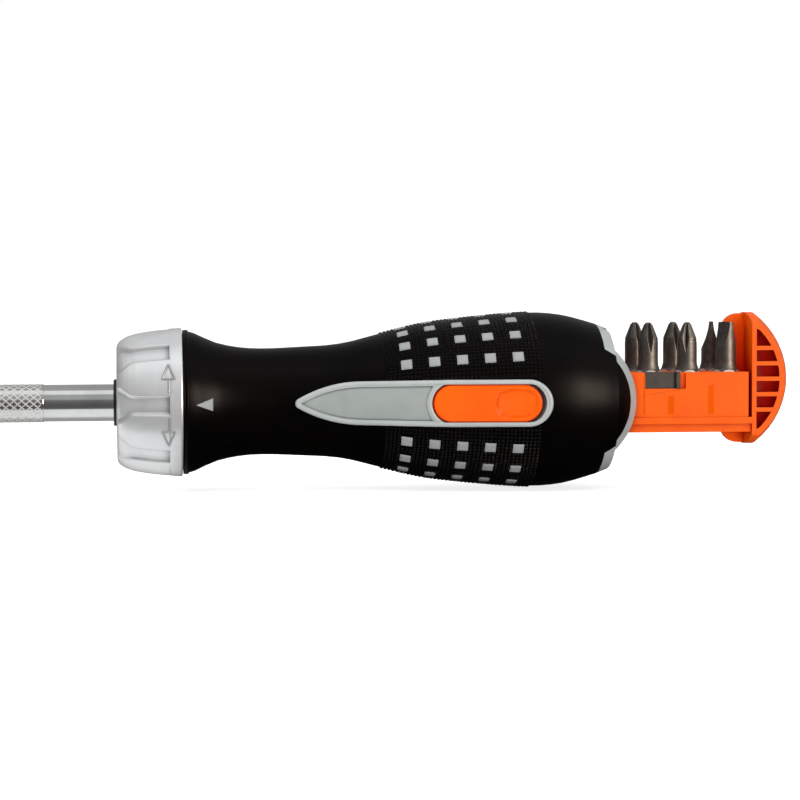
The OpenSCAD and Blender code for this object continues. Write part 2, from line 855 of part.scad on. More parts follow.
module pawl_plan() {
    root = gear_r - tooth_depth;
    flank = tooth_depth * nose_flank_share;
    difference() {
        union() {
            translate([-pivot_u, pivot_v]) circle(pawl_hub_r);
            polygon([
                [-pivot_u, pivot_v - pawl_hub_r], [-flank - pawl_tip_half, gear_r + gap],
                [-flank, gear_r], [-pawl_tip_half, root + pawl_tip_gap], [pawl_tip_half, root + pawl_tip_gap],
                [flank, gear_r], [flank + pawl_tip_half, gear_r + gap], [pawl_nose_half, gear_r + 2 * gap],
                [pawl_nose_half, pawl_back], [-pivot_u / 2, pawl_back], [-pivot_u, pivot_v + pawl_hub_r]
            ]);
        }
        translate([-pivot_u, pivot_v]) circle(pawl_pin_r + run_fit);
    }
}

module pawl(side) color("#7a7d81") {
    mirror([0, 0, side < 0 ? 1 : 0]) difference() {
        union() {
            plan_x(pawl_x, pawl_x + pawl_len) pawl_plan();
            plan_x(pawl_x + (pawl_len - tail_len) / 2, pawl_x + (pawl_len + tail_len) / 2) difference() {
                tail_plan(0);
                translate([-pivot_u, pivot_v]) circle(pawl_pin_r + run_fit);
            }
        }
        translate([pawl_x + pawl_len / 2, 0, pawl_spring_seat]) cylinder(r = pawl_seat_r, h = pawl_back);
    }
}

module pawl_forward() { pawl(1); }
module pawl_reverse() { pawl(-1); }

module pawl_spring(side) color("#8e9195") {
    length = roof_r - pawl_spring_seat - 2 * stack_gap;
    mirror([0, 0, side < 0 ? 1 : 0])
        translate([pawl_x + pawl_len / 2, 0, pawl_spring_seat + stack_gap / 2])
            coil(length, pawl_spring_r, pawl_spring_wire, short_turns);
}

module pawl_spring_forward() { pawl_spring(1); }
module pawl_spring_reverse() { pawl_spring(-1); }

module pawl_pins() color("#9a9da1") {
    for (side = [-1, 1])
        translate([0, -pivot_u, side * pivot_v]) bar_x(pawl_pin_r, drum_x, drum_x + pawl_pin_len);
}

module pawl_pocket_plan() {
    intersection() {
        circle(roof_r);
        translate([-pivot_u, gear_r / 2])
            square([pivot_u + pawl_nose_half + 3 * pawl_pin_r, drum_r]);
    }
    translate([-pivot_u, pivot_v]) circle(pawl_hub_r + run_fit);
    for (share = [0, 0.5, 1]) about_pivot(share * pawl_lift) tail_plan(gap);
}

module ratchet_gear() color("#85888c") {
    root = gear_r - tooth_depth;
    pitch = 360 / tooth_count;
    plan_x(gear_x + run_fit, gear_x + gear_len) difference() {
        rotate(90) polygon([
            for (k = [0:tooth_count - 1], p = tooth_shares)
                let (a = (k + p[0]) * pitch, r = root + p[1] * tooth_depth)
                [r * cos(a), r * sin(a)]
        ]);
        rotate(-90) circle(seat_af / 2 / cos(30), $fn = 6);
    }
}

module ratchet_housing() color("#a4a7ab") {
    difference() {
        union() {
            bar_x(drum_r, drum_x, handle_x);
            plan_x(handle_x - over, stem_end) stem_plan(0);
        }
        bar_x(chamber_r, drum_x - over, web_x);
        for (side = [0, 1]) mirror([0, 0, side])
            plan_x(drum_x - over, web_x) pawl_pocket_plan();
        bar_x(journal_r + run_fit, web_x - over, web_end + over);
        bar_x(stem_bore_r, web_end, stem_end + over);
        for (a = screw_angles) rotate([a, 0, 0])
            translate([0, screw_pcd_r, 0]) bar_x(screw_r, drum_x - over, cover_x + screw_len);
        for (side = [-1, 1])
            translate([0, -pivot_u, side * pivot_v]) bar_x(pawl_pin_r, web_x - over, drum_x + pawl_pin_len);
        translate([ball_x, drum_r - detent_depth, 0]) rotate([-90, 0, 0])
            cylinder(r = detent_bore_r, h = drum_r);
        difference() {
            bar_x(drum_r + over, snap_x - snap_wire - run_fit, snap_x + snap_wire + run_fit);
            bar_x(drum_r - snap_wire - run_fit, snap_x - over, snap_x + over);
        }
        translate([pin_x, -drum_r, 0]) rotate([-90, 0, 0]) cylinder(r = pin_r, h = 2 * drum_r);
    }
}

module housing_cover() color("#b0b3b7") {
    difference() {
        bar_x(drum_r - gap, cover_x, drum_x);
        bar_x(shaft_r + run_fit, cover_x - over, drum_x + over);
        for (a = screw_angles) rotate([a, 0, 0]) translate([0, screw_pcd_r, 0]) {
            bar_x(screw_r, cover_x - over, drum_x + over);
            revolve_x([
                [0, cover_x - over], [screw_head_r, cover_x - over], [screw_head_r, cover_x],
                [screw_r, cover_x + screw_head_r - screw_r], [0, cover_x + screw_head_r - screw_r]
            ]);
        }
    }
}

module cover_screws() color("#5d6064") {
    for (a = screw_angles) rotate([a, 0, 0]) translate([0, screw_pcd_r, 0]) difference() {
        revolve_x([
            [0, cover_x], [screw_head_r, cover_x], [screw_r, cover_x + screw_head_r - screw_r],
            [screw_r, cover_x + screw_len], [0, cover_x + screw_len]
        ]);
        hexagon(screw_socket_af, cover_x - over, cover_x + screw_socket_depth);
    }
}

module detent_ball() color("#c4c7cb") {
    translate([ball_x, ball_y, 0]) sphere(ball_r);
}

module detent_spring() color("#8e9195") {
    floor_y = drum_r - detent_depth;
    translate([ball_x, floor_y + run_fit, 0]) rotate([-90, 0, 0])
        coil(ball_y - ball_r - floor_y - 2 * run_fit, detent_spring_r, pawl_spring_wire, short_turns);
}

module thrust_washer() color("#b58a4a") {
    difference() {
        bar_x(washer_r, washer_x, washer_x + washer_len);
        bar_x(journal_r + run_fit, washer_x - over, clip_x + over);
    }
}

module shaft_clip() color("#5d6064") {
    difference() {
        bar_x(clip_r, clip_x + run_fit, clip_x + clip_len - run_fit);
        bar_x(groove_r + run_fit, clip_x - over, clip_x + clip_len + over);
        box_x(clip_x - over, clip_x + clip_len + over, clip_mouth / 2, -clip_r - over, 0);
    }
}

module housing_pin() color("#8e9195") {
    half = grip_r(pin_x) - skin_t - gap;
    translate([pin_x, -half, 0]) rotate([-90, 0, 0]) cylinder(r = pin_r, h = 2 * half);
}

// Half the length of the button's pin, which ends inside the core
function button_pin_half() =
    sqrt(pow(grip_r(pivot_x) - skin_t, 2) - pow(pivot_y + button_pin_r, 2)) - button_pin_cover;

// Release button
module release_button() color("#ff6a13") {
    difference() {
        union() {
            intersection() {
                grip_band(-button_t, button_off, button_x0 - over, button_x1 + over);
                plan_y(panel_root, belly_r + over) button_plan(0, 0, 0);
            }
            translate([pivot_x, -pivot_y, -boss_half]) cylinder(r = pivot_boss_r, h = 2 * boss_half);
            translate([plunger_x, -plunger_end, 0]) rotate([90, 0, 0])
                cylinder(r = plunger_r, h = grip_r(plunger_x) - button_t - plunger_end + plunger_root);
        }
        translate([pivot_x, -pivot_y, -button_h]) cylinder(r = button_pin_r + run_fit, h = 2 * button_h);
        translate([dish_x, -grip_r(dish_x) - button_off - dish_r + dish_depth, 0]) sphere(dish_r);
    }
}

module button_pin() color("#9a9da1") {
    translate([pivot_x, -pivot_y, -button_pin_half()])
        cylinder(r = button_pin_r, h = 2 * button_pin_half());
}

module button_spring() color("#8e9195") {
    length = grip_r(button_spring_x) - button_t - pocket_floor - 2 * stack_gap;
    translate([button_spring_x, -pocket_floor - stack_gap, 0]) rotate([90, 0, 0])
        coil(length, button_spring_r, button_spring_wire, short_turns);
}

// Magazine
function bit_x(side, i) = bit_x0 + i * bit_pitch - (side > 0 ? row_stagger : 0);

module tray_blank() {
    box_x(tray_x0, tray_x1, tray_half, ledge_z, tray_top);
    box_x(tray_x0, cap_plate_x, tray_half - keel_inset, tray_bottom, ledge_z);
    box_x(tray_x0, cap_plate_x, tray_half + rail_out, ledge_z - rail_h, ledge_z);
    translate([runner_x, 0, -runner_drop]) rotate([0, -mag_incline, 0])
        box_x(-runner_len / 2, runner_len / 2, tray_half + runner_out, -runner_h / 2, runner_h / 2);
}

module magazine_tray() color("#ff6a13") {
    opened() difference() {
        tray_blank();
        for (side = [-1, 1], i = [0:bit_count - 1])
            translate([bit_x(side, i), side * row_pitch / 2, bit_seat_z])
                cylinder(r = pocket_af / 2 / cos(30), h = bit_len, $fn = 6);
        box_x(
            tongue_x - seat_fit, cap_plate_x + over, tongue_half + seat_fit,
            tray_bottom - over, tray_top + over
        );
        translate([latch_x, -tray_half - over, tray_top - latch_h])
            cube([latch_notch_len, latch_notch + over, latch_h + over]);
        box_x(
            tray_x0 + tail_wall, bit_x0 - bit_pitch / 2 - row_stagger - tail_wall, tail_pocket_half,
            ledge_z + tail_pocket_floor, tray_top + over
        );
        for (i = [0:bit_count])
            box_x(
                bit_x0 + (i - 1 - under_share) * bit_pitch, bit_x0 + (i - 1 + under_share) * bit_pitch,
                tail_pocket_half, tray_bottom - over, tray_bottom + under_depth
            );
    }
}

module end_cap() color("#ff6a13") {
    opened() {
        difference() {
            intersection() {
                revolve_x(concat([[0, cap_plate_x], [cap_r, cap_plate_x]], dome_outline(0, cap_dome_x)));
                box_x(cap_plate_x, dome_x + dome_r, cap_half, -dome_r, dome_r);
            }
            for (side = [0, 1]) mirror([0, side, 0]) difference() {
                intersection() {
                    revolve_x(concat(
                        [[0, cap_plate_x + cap_plate_t], [cap_r - cap_wall, cap_plate_x + cap_plate_t]],
                        dome_outline(-cap_wall, cap_dome_x)
                    ));
                    translate([cap_plate_x, cap_web_half, -dome_r]) cube(2 * dome_r);
                }
                for (k = [0:cap_ribs - 1])
                    box_x(
                        cap_plate_x, dome_x + dome_r, dome_r,
                        (k - (cap_ribs - 1) / 2) * cap_rib_pitch - cap_rib / 2,
                        (k - (cap_ribs - 1) / 2) * cap_rib_pitch + cap_rib / 2
                    );
            }
        }
        plan_y(-tongue_half, tongue_half) {
            translate([tongue_x + tongue_corner, -tongue_reach])
                square([tongue_len - tongue_corner + tongue_bite, 2 * tongue_reach]);
            translate([tongue_x, tongue_corner - tongue_reach])
                square([tongue_corner, 2 * (tongue_reach - tongue_corner)]);
            for (side = [-1, 1])
                translate([tongue_x + tongue_corner, side * (tongue_reach - tongue_corner)])
                    circle(tongue_corner);
        }
    }
}

module latch_spring() color("#5a5853") {
    face = tray_half - latch_notch;
    opened() translate([latch_x + run_fit, 0, tray_top - latch_h + run_fit]) {
        translate([0, -face - latch_t, 0]) cube([latch_len, latch_t, latch_h + latch_proud]);
        translate([latch_len - latch_barb, -face - latch_barb_out - latch_t, 0])
            cube([latch_barb, latch_barb_out + latch_t, latch_h + latch_proud]);
    }
}

module eject_spring() color("#8e9195") {
    along_travel(-eject_back + run_fit)
        coil(
            eject_back + mag_travel / cos(mag_incline) - 2 * run_fit - eject_r * tan(mag_incline),
            eject_r, eject_wire, eject_turns
        );
}

module spring_guide() color("#9a9da1") {
    along_travel(-eject_back - guide_bite) cylinder(r = guide_r, h = guide_len);
}

// Bits, drawn standing on their hexagon ends, with their noses from the neck up as a profile
module bit_blank(nose) {
    intersection() {
        cylinder(r = hex_af / 2 / cos(30), h = hex_len, $fn = 6);
        rotate_extrude() polygon([
            [0, 0], [bit_corner_r - hex_chamfer, 0], [bit_corner_r, hex_chamfer],
            [bit_corner_r, hex_len - hex_chamfer], [bit_corner_r - hex_chamfer, hex_len], [0, hex_len]
        ]);
    }
    rotate_extrude() polygon(concat(
        [
            [0, hex_len - hex_chamfer], [bit_root_r, hex_len - hex_chamfer], [bit_root_r, hex_len],
            [bit_neck_r + bit_flare_out, hex_len + bit_flare_share * bit_flare_len],
            [bit_neck_r, hex_len + bit_flare_len]
        ],
        nose
    ));
}

// Nose of a cross bit, and the straight nose that a slotted blade is cut from
pointed_nose = [
    [bit_neck_r, bit_len - bit_cone_len], [bit_tip_r + bit_tip_round, bit_len - bit_tip_round],
    [bit_tip_r, bit_len], [0, bit_len]
];
straight_nose = [[bit_neck_r, bit_len], [0, bit_len]];

module cross_flutes() {
    tilt = atan((bit_neck_r - flute_web) / flute_len);
    for (k = [0:3]) rotate(45 + 90 * k)
        translate([flute_web, 0, bit_len]) rotate([0, 180 - tilt, 0]) rotate([0, 0, 135])
            translate([0, 0, -over]) cube([bit_len, bit_len, flute_len + bit_cone_len]);
}

module phillips_bit() color("#6b6763") {
    difference() {
        bit_blank(pointed_nose);
        cross_flutes();
    }
}

module pozi_bit() color("#6b6763") {
    phillips_bit();
    intersection() {
        bit_blank(pointed_nose);
        for (k = [0:1]) rotate(45 + 90 * k)
            translate([-pozi_rib_reach, -pozi_rib / 2, bit_len - flute_len])
                cube([2 * pozi_rib_reach, pozi_rib, flute_len]);
    }
}

module slotted_bit(turn) color("#6b6763") {
    intersection() {
        bit_blank(straight_nose);
        rotate(turn) union() {
            cylinder(r = bit_corner_r, h = bit_len - blade_len);
            translate([0, blade_w / 2, 0]) rotate([90, 0, 0]) linear_extrude(blade_w) polygon([
                [-bit_neck_r, 0], [-bit_neck_r, bit_len - blade_len],
                [-blade_mid_t / 2, bit_len - blade_mid_share * blade_len], [-blade_t / 2, bit_len],
                [blade_t / 2, bit_len], [blade_mid_t / 2, bit_len - blade_mid_share * blade_len],
                [bit_neck_r, bit_len - blade_len], [bit_neck_r, 0]
            ]);
        }
    }
}

module bit_place(side, i) {
    opened() translate([bit_x(side, i), side * row_pitch / 2, bit_seat_z + run_fit]) children();
}

module bit_phillips_front() { bit_place(-1, 0) phillips_bit(); }
module bit_phillips_back() { bit_place(1, 0) phillips_bit(); }
module bit_pozi_front() { bit_place(-1, 1) pozi_bit(); }
module bit_pozi_back() { bit_place(1, 1) pozi_bit(); }
module bit_slotted_front() { bit_place(-1, 2) slotted_bit(90); }
module bit_slotted_back() { bit_place(1, 2) slotted_bit(0); }

blade_shaft();
socket_magnet();
nose_bush();
selector_collar();
collar_snap_ring();
ratchet_housing();
housing_cover();
cover_screws();
ratchet_gear();
pawl_forward();
pawl_reverse();
pawl_pins();
pawl_spring_forward();
pawl_spring_reverse();
detent_ball();
detent_spring();
thrust_washer();
shaft_clip();
housing_pin();
handle_core();
grip_overmold();
release_button();
button_pin();
button_spring();
magazine_tray();
end_cap();
latch_spring();
eject_spring();
spring_guide();
bit_phillips_front();
bit_phillips_back();
bit_pozi_front();
bit_pozi_back();
bit_slotted_front();
bit_slotted_back();
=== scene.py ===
"""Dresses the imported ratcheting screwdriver: metal, collar, grip, button, springs, bits and stage."""

from math import acos, atan, cos, hypot, pi, radians, sin, sqrt, tau
from typing import NamedTuple

import bmesh
import bpy
from bpy.types import Operator
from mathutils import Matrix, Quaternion, Vector
from mathutils.bvhtree import BVHTree


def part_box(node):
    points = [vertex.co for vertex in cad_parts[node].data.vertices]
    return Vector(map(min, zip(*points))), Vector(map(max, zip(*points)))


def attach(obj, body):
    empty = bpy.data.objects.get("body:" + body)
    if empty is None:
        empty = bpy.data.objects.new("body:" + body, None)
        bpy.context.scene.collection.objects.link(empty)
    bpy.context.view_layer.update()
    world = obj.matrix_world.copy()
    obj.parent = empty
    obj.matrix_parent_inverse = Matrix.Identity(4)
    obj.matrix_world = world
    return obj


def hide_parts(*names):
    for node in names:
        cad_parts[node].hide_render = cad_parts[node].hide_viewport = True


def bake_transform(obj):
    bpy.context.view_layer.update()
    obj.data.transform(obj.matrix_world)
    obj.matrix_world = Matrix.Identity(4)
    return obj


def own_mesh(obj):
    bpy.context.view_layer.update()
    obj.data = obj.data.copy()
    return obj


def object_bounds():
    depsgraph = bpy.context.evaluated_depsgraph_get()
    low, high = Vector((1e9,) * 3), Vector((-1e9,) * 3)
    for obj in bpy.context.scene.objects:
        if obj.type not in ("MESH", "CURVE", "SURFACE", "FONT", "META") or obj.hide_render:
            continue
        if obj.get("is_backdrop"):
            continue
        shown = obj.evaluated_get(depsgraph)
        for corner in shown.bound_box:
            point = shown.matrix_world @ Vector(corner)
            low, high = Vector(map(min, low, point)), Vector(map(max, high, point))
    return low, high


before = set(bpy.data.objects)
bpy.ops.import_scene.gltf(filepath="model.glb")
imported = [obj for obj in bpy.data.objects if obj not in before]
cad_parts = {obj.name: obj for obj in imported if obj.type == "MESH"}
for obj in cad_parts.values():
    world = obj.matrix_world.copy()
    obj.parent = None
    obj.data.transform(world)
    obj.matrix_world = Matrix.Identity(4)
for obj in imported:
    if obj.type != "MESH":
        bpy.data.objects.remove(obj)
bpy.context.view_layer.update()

bl_info = {
    "name": "Ratcheting Screwdriver",
    "version": (1, 0, 0),
    "blender": (4, 5, 0),
    "location": "View3D > Sidebar > Screwdriver",
    "description": "Builds the surfaces of a ratcheting screwdriver round its solid parts",
    "category": "Object",
}

MM = 0.001
WHITE = (1, 1, 1, 1)

# Stations along the tool from the socket mouth, radii and widths, in millimetres
KNURL = (37.3, 62.3)
SHAFT_RADIUS = 5.0
COLLAR = (82.0, 99.5)
COLLAR_BAND = 14.0
COLLAR_BORES = (6.35, 13.05)
COLLAR_BORE_X = 83.6
COLLAR_FACES = 8
HANDLE_X = (101.4, 200.0)
HANDLE_STEPS = 200
GRAIN_ZONE = (153.0, 192.2)
# Pyramids to a square's pitch
GRAIN_CELLS = 7
SQUARE_X = 158.3
SQUARE_PITCH = 7.2
SQUARE_SIDE = 2.6
SQUARE_COLUMNS = 5
SQUARE_ROWS = 17
# Degrees round the tool from the panel's middle to the first row of squares, and from row to row
SQUARE_FREE = 31.5
SQUARE_TURN = (360 - 2 * SQUARE_FREE) / (SQUARE_ROWS - 1)
PANEL_END = 195.4
PANEL_HALF = 6.0
PANEL_RIM = 1.05
PANEL_PROUD = 0.35
# The panel's front end is two arcs that meet in a small tip, and its sides then widen over the taper
OGIVE = {"r": 34.0, "x": 146.91, "drop": 28.4, "half": 5.6, "taper": 22.0}
TIP_RADIUS = 1.2
TIP_X = 130.5
BUTTON = (164.7, 192.9)
BUTTON_RADIUS = 5.0
BUTTON_SHELL = 3.2
BUTTON_RAISE = 0.15
BUTTON_ROUND = 0.55
# Middle, half sizes and power of the thumb dish's rounded oblong
DISH = (186.3, 5.4, 3.5, 3.2)
# Station and depth of the button's pivot, then station, depth and radius of its plunger
PIVOT = (168.7, 17.1)
PLUNGER = (186.5, 10.6, 1.3)
# Station of the pointer's tip, its length and its width
POINTER = (102.9, 4.5, 3.4)
TRAY_HALF = 9.3
# How far the magazine slides along the tool, and how far it falls on the way
SLIDE_RUN = 38.5
SLIDE_FALL = 5.3


def srgb(code):
    """Linear colour of an sRGB hex value."""
    parts = [int(code[i : i + 2], 16) / 255 for i in (1, 3, 5)]
    return tuple(p / 12.92 if p <= 0.04045 else ((p + 0.055) / 1.055) ** 2.4 for p in parts)


def shown(colour):
    """An sRGB hex value or a linear colour with its alpha, as a shader socket takes it."""
    return (*(srgb(colour) if isinstance(colour, str) else colour), 1.0)


def add_node(tree, kind, links=None, values=None, stops=(), **settings):
    """Adds a node, sets its properties and socket values, and links sockets to its inputs. A shader
    node's kind is given without its first word. A stop is a place along a colour ramp, and a colour
    or a grey level."""
    node = tree.nodes.new(("ShaderNode" if tree.type == "SHADER" else "") + kind)
    for key, value in settings.items():
        setattr(node, key, value)
    for key, value in (values or {}).items():
        node.inputs[key].default_value = value
    for key, source in (links or {}).items():
        tree.links.new(source, node.inputs[key])
    for at, level in stops[1:-1]:
        node.color_ramp.elements.new(at)
    for number, (at, level) in enumerate(stops):
        stop = node.color_ramp.elements[number]
        stop.position = at
        stop.color = (level, level, level, 1.0) if isinstance(level, float) else shown(level)
    return node


class Look(NamedTuple):
    """A finish. The surface drifts between two sRGB colours and carries a fine relief."""

    base: str
    shade: str
    drift_mm: float
    rough: tuple
    grain_mm: float
    relief_mm: float
    metallic: float = 0.0
    ior: float = 1.5
    gloss: float = 0.5
    # Draws the relief out along an axis
    stretch: tuple = (1, 1, 1)
    # Radii between which a dark colour, painted in the pits as shade, clears, and that colour
    pits: tuple = None
    # Reach in millimetres and share of open sky between which a painted shade colour clears, and that
    # colour
    deep: tuple = None


FINISHES = {
    # Chrome-vanadium bar, ground and bright chrome plated: fine turned lines under a hard mirror gloss
    "plated_bar": Look(
        "#dedfdf", "#d2d3d4", 9, (0.09, 0.15), 0.16, 0.003, 1.0, stretch=(1, 0.02, 0.02)),
    # The rolled knurl keeps its plating but scatters the light more, and its pits are painted dark as
    # shade
    "rolled_knurl": Look(
        "#dad7d3", "#cecbc7", 4, (0.26, 0.38), 0.12, 0.006, 0.4, pits=(4.86, 5.1, "#2b2724")),
    # Cast aluminium, bead blasted and clear anodised: a bright even satin that hardly mirrors anything,
    # with painted shade in its hollows
    "anodised_aluminium": Look(
        "#e6e7e8", "#dddfe1", 7, (0.3, 0.4), 0.11, 0.006, 0.62, deep=(2.2, 0.66, 0.96, "#9fa1a4")),
    # The same metal where the arrows stand up, in a darker grey
    "anodised_edge": Look("#b2b4b7", "#a6a9ac", 3, (0.3, 0.4), 0.1, 0.004, 0.5),
    # Pressure die cast zinc-aluminium: a dull grey skin with soft flow marks
    "die_casting": Look("#a9abae", "#8f9295", 5, (0.42, 0.6), 0.35, 0.02, 1.0),
    # Hardened steel ground on its faces: straight fine scratches
    "ground_steel": Look(
        "#9da0a4", "#84878c", 3, (0.24, 0.4), 0.14, 0.005, 1.0, stretch=(0.06, 1, 0.4)),
    # Sintered bronze: warm, porous and oily
    "sintered_bronze": Look("#b58a4f", "#96703d", 2, (0.35, 0.5), 0.12, 0.01, 1.0),
    # Patented spring wire: drawn smooth, with a dull sheen
    "spring_wire": Look("#a6a8ab", "#7f8286", 1.2, (0.22, 0.36), 0.08, 0.003, 1.0),
    # Sintered magnet, nickel plated: a warm bright plate with slight orange peel
    "nickel_plate": Look("#c2beb4", "#aaa79e", 2, (0.2, 0.3), 0.4, 0.006, 1.0),
    # Glass filled nylon, moulded: near black with a dry speckle
    "filled_nylon": Look("#151516", "#1f1f21", 1.5, (0.45, 0.6), 0.18, 0.012, ior=1.53),
    # Thermoplastic rubber moulded over the core: black, silky, with a faint handling bloom
    "soft_rubber": Look("#040303", "#070504", 14, (0.31, 0.39), 0.22, 0.006, ior=1.145),
    # The same rubber in the raised grain, where the mould is eroded rougher
    "grain_rubber": Look("#050404", "#0b0a09", 1.1, (0.14, 0.45), 0.5, 0.22, ior=1.36),
    # Light grey ABS, moulded with a satin face
    "satin_abs": Look("#b6bab9", "#afb4b2", 10, (0.36, 0.46), 0.2, 0.005, ior=1.54),
    # The same ABS in the squares that show through the rubber, dulled by the hand
    "worn_abs": Look("#a0a2a2", "#989b9a", 5, (0.5, 0.6), 0.2, 0.008, ior=1.4),
    # The same ABS in the recess, where the mould is spark eroded: darker, with a dry fine grain and
    # painted shade in its corners
    "eroded_abs": Look(
        "#9ea4a0", "#979e9a", 6, (0.5, 0.62), 0.24, 0.016, ior=1.54, deep=(1.1, 0.5, 0.86, "#5d6462")),
    # Orange ABS, moulded: strong colour and soft gloss, with a painted deep red shade in its hollows
    "orange_abs": Look(
        "#fb6303", "#f65c02", 9, (0.34, 0.44), 0.26, 0.006, ior=1.54, gloss=0.15,
        deep=(6.0, 0.3, 0.81, "#b40d00")),
    # The same ABS as a thin dark red shell over the button's edge: painted shade in the crease round it
    "creased_orange": Look("#c92f02", "#bd2600", 6, (0.4, 0.5), 0.26, 0.004, ior=1.3),
    # Where ribs inside the tray show through its wall the orange is a shade browner
    "shaded_orange": Look("#f05a02", "#e95300", 6, (0.4, 0.5), 0.26, 0.004, ior=1.3, gloss=0.05),
    # Tool steel bits, manganese phosphated and oiled: warm gunmetal, cloudy, a fine crystal grain, with
    # painted shade in the flutes and hollows
    "phosphated_steel": Look(
        "#6b6763", "#5a5653", 1.8, (0.4, 0.53), 0.1, 0.006, 0.8, stretch=(1, 1, 0.2),
        deep=(1.3, 0.5, 0.9, "#1a1512")),
    # The sides of each bit's hexagon, painted bright as a highlight
    "hexagon_highlight": Look(
        "#c4c0ba", "#b4b0aa", 2, (0.34, 0.46), 0.1, 0.004, 0.35, stretch=(1, 1, 0.2)),
    # Stamped leaf of hardened strip: dull, rolled along its length
    "rolled_strip": Look("#474340", "#3d3a37", 3, (0.42, 0.56), 0.1, 0.004, 0.6, stretch=(0.08, 1, 1)),
}

# Studio: strength of the paper's glow, and of the room in front, behind and overhead
PAPER_GLOW = 0.78
ROOM = (0.08, 0.5, 0.3)
# Name, place in metres, width, height, power and colour of each lamp, and where they all point
LAMPS = (
    ("key", (0.05, -0.55, 0.65), 0.55, 0.35, 2.0, "#ffffff"),
    ("side", (0.62, -0.5, 0.1), 0.16, 0.36, 5.7, "#ffead6"),
    ("top", (0.15, 0.1, 0.7), 0.7, 0.25, 1.9, "#ffffff"),
    ("low", (0.15, -0.6, 0.03), 0.5, 0.08, 1.7, "#ffffff"),
)
LAMP_TARGET = (0.15, 0.0, 0.0)
# Grey levels that the metal shows, along the paper from in front of the tool to behind it, a painted
# reflection of the paper, and round the room from straight in front over the top to straight behind
PAPER_IN_METAL = (
    (0.0, 0.12), (0.37, 0.11), (0.405, 0.16), (0.42, 0.95), (0.49, 1.0), (0.51, 0.42), (0.6, 0.38),
    (1.0, 0.4)
)
# The paper's levels where it lies under the grip, darker: a painted shadow of the grip in the gloss
GRIP_SHADOW_IN_METAL = ((0.0, 0.03), (0.38, 0.01), (0.62, 0.02), (0.7, 0.25), (1.0, 0.35))
ROOM_IN_METAL = (
    (0.0, 0.14), (0.1, 0.18), (0.15, 0.44), (0.3, 0.44), (0.33, 0.95), (0.46, 1.0), (0.5, 0.42),
    (1.0, 0.36)
)
# How dim the far left of the room is in the metal
FAR_LEFT = 0.12
# How far in metres the paper's levels run to each side of the tool, and where along the tool those
# under the grip, the painted shadow, take over
PAPER_REACH = 0.2
GRIP_FROM = (0.094, 0.104)
# How many times the paper's faint mottling repeats over its width, which makes it about 27 mm wide
PAPER_MOTTLE = 900.0
# Half the paper's width in metres, and its depth under the tool in millimetres
PAPER_HALF = 12.0
PAPER_DROP = 0.3
# The camera's aim and distance in metres, its tilt and roll in degrees, its lens and its shift
CAMERA_AIM = (0.0882, 0.0, 0.00065)
CAMERA_REACH = 0.5946
CAMERA_TILT = 2.7
CAMERA_ROLL = -0.5
CAMERA_LENS = 99.0
CAMERA_SHIFT = 0.325


def cleared(holder):
    """The empty node tree of a material or a world."""
    holder.use_nodes = True
    holder.node_tree.nodes.clear()
    return holder.node_tree


def finish(name):
    """The material of that finish, made once."""
    made = bpy.data.materials.get(name)
    if made:
        return made
    look = FINISHES[name]
    base = getattr(bpy.context.scene.screwdriver_colours, name, look.base)
    made = bpy.data.materials.new(name)
    tree = cleared(made)
    place = add_node(tree, "TexCoord").outputs["Object"]
    drift = add_node(
        tree, "TexNoise", {"Vector": place},
        {"Scale": 1 / (look.drift_mm * MM), "Detail": 3.0, "Roughness": 0.6})
    tint = add_node(
        tree, "ValToRGB", {"Fac": drift.outputs["Fac"]},
        stops=((0.35, base), (0.65, look.shade))).outputs["Color"]
    laid = add_node(tree, "Mapping", {"Vector": place}, {"Scale": look.stretch})
    grain = add_node(
        tree, "TexNoise", {"Vector": laid.outputs["Vector"]},
        {"Scale": 1 / (look.grain_mm * MM), "Detail": 2.0, "Roughness": 0.55}).outputs["Fac"]
    smoothest, roughest = look.rough
    rough = add_node(
        tree, "MapRange", {"Value": grain},
        {"From Min": 0.3, "From Max": 0.7, "To Min": smoothest, "To Max": roughest})
    relief = add_node(
        tree, "Bump", {"Height": grain}, {"Strength": 0.6, "Distance": look.relief_mm * MM})
    clear = None
    # The knurl's pits are painted dark, as shade
    if look.pits:
        low, high, dark = look.pits
        across = add_node(
            tree, "VectorMath", {0: place}, {1: (0.0, 1.0, 1.0)}, operation="MULTIPLY")
        radius = add_node(tree, "VectorMath", {0: across.outputs[0]}, operation="LENGTH")
        clear = add_node(
            tree, "MapRange", {"Value": radius.outputs["Value"]},
            {"From Min": low * MM, "From Max": high * MM})
    # Hollows that see little open sky are painted dark, as shade
    if look.deep:
        reach, low, high, dark = look.deep
        sky = add_node(tree, "AmbientOcclusion", values={"Distance": reach * MM}, samples=12)
        clear = add_node(
            tree, "MapRange", {"Value": sky.outputs["AO"]}, {"From Min": low, "From Max": high})
    if clear:
        tint = add_node(
            tree, "Mix", {0: clear.outputs[0], 7: tint}, {6: shown(dark)}, data_type="RGBA").outputs[2]
    shader = add_node(
        tree, "BsdfPrincipled",
        {"Base Color": tint, "Roughness": rough.outputs[0], "Normal": relief.outputs["Normal"]},
        {"Metallic": look.metallic, "IOR": look.ior, "Specular IOR Level": look.gloss})
    add_node(tree, "OutputMaterial", {"Surface": shader.outputs["BSDF"]})
    return made


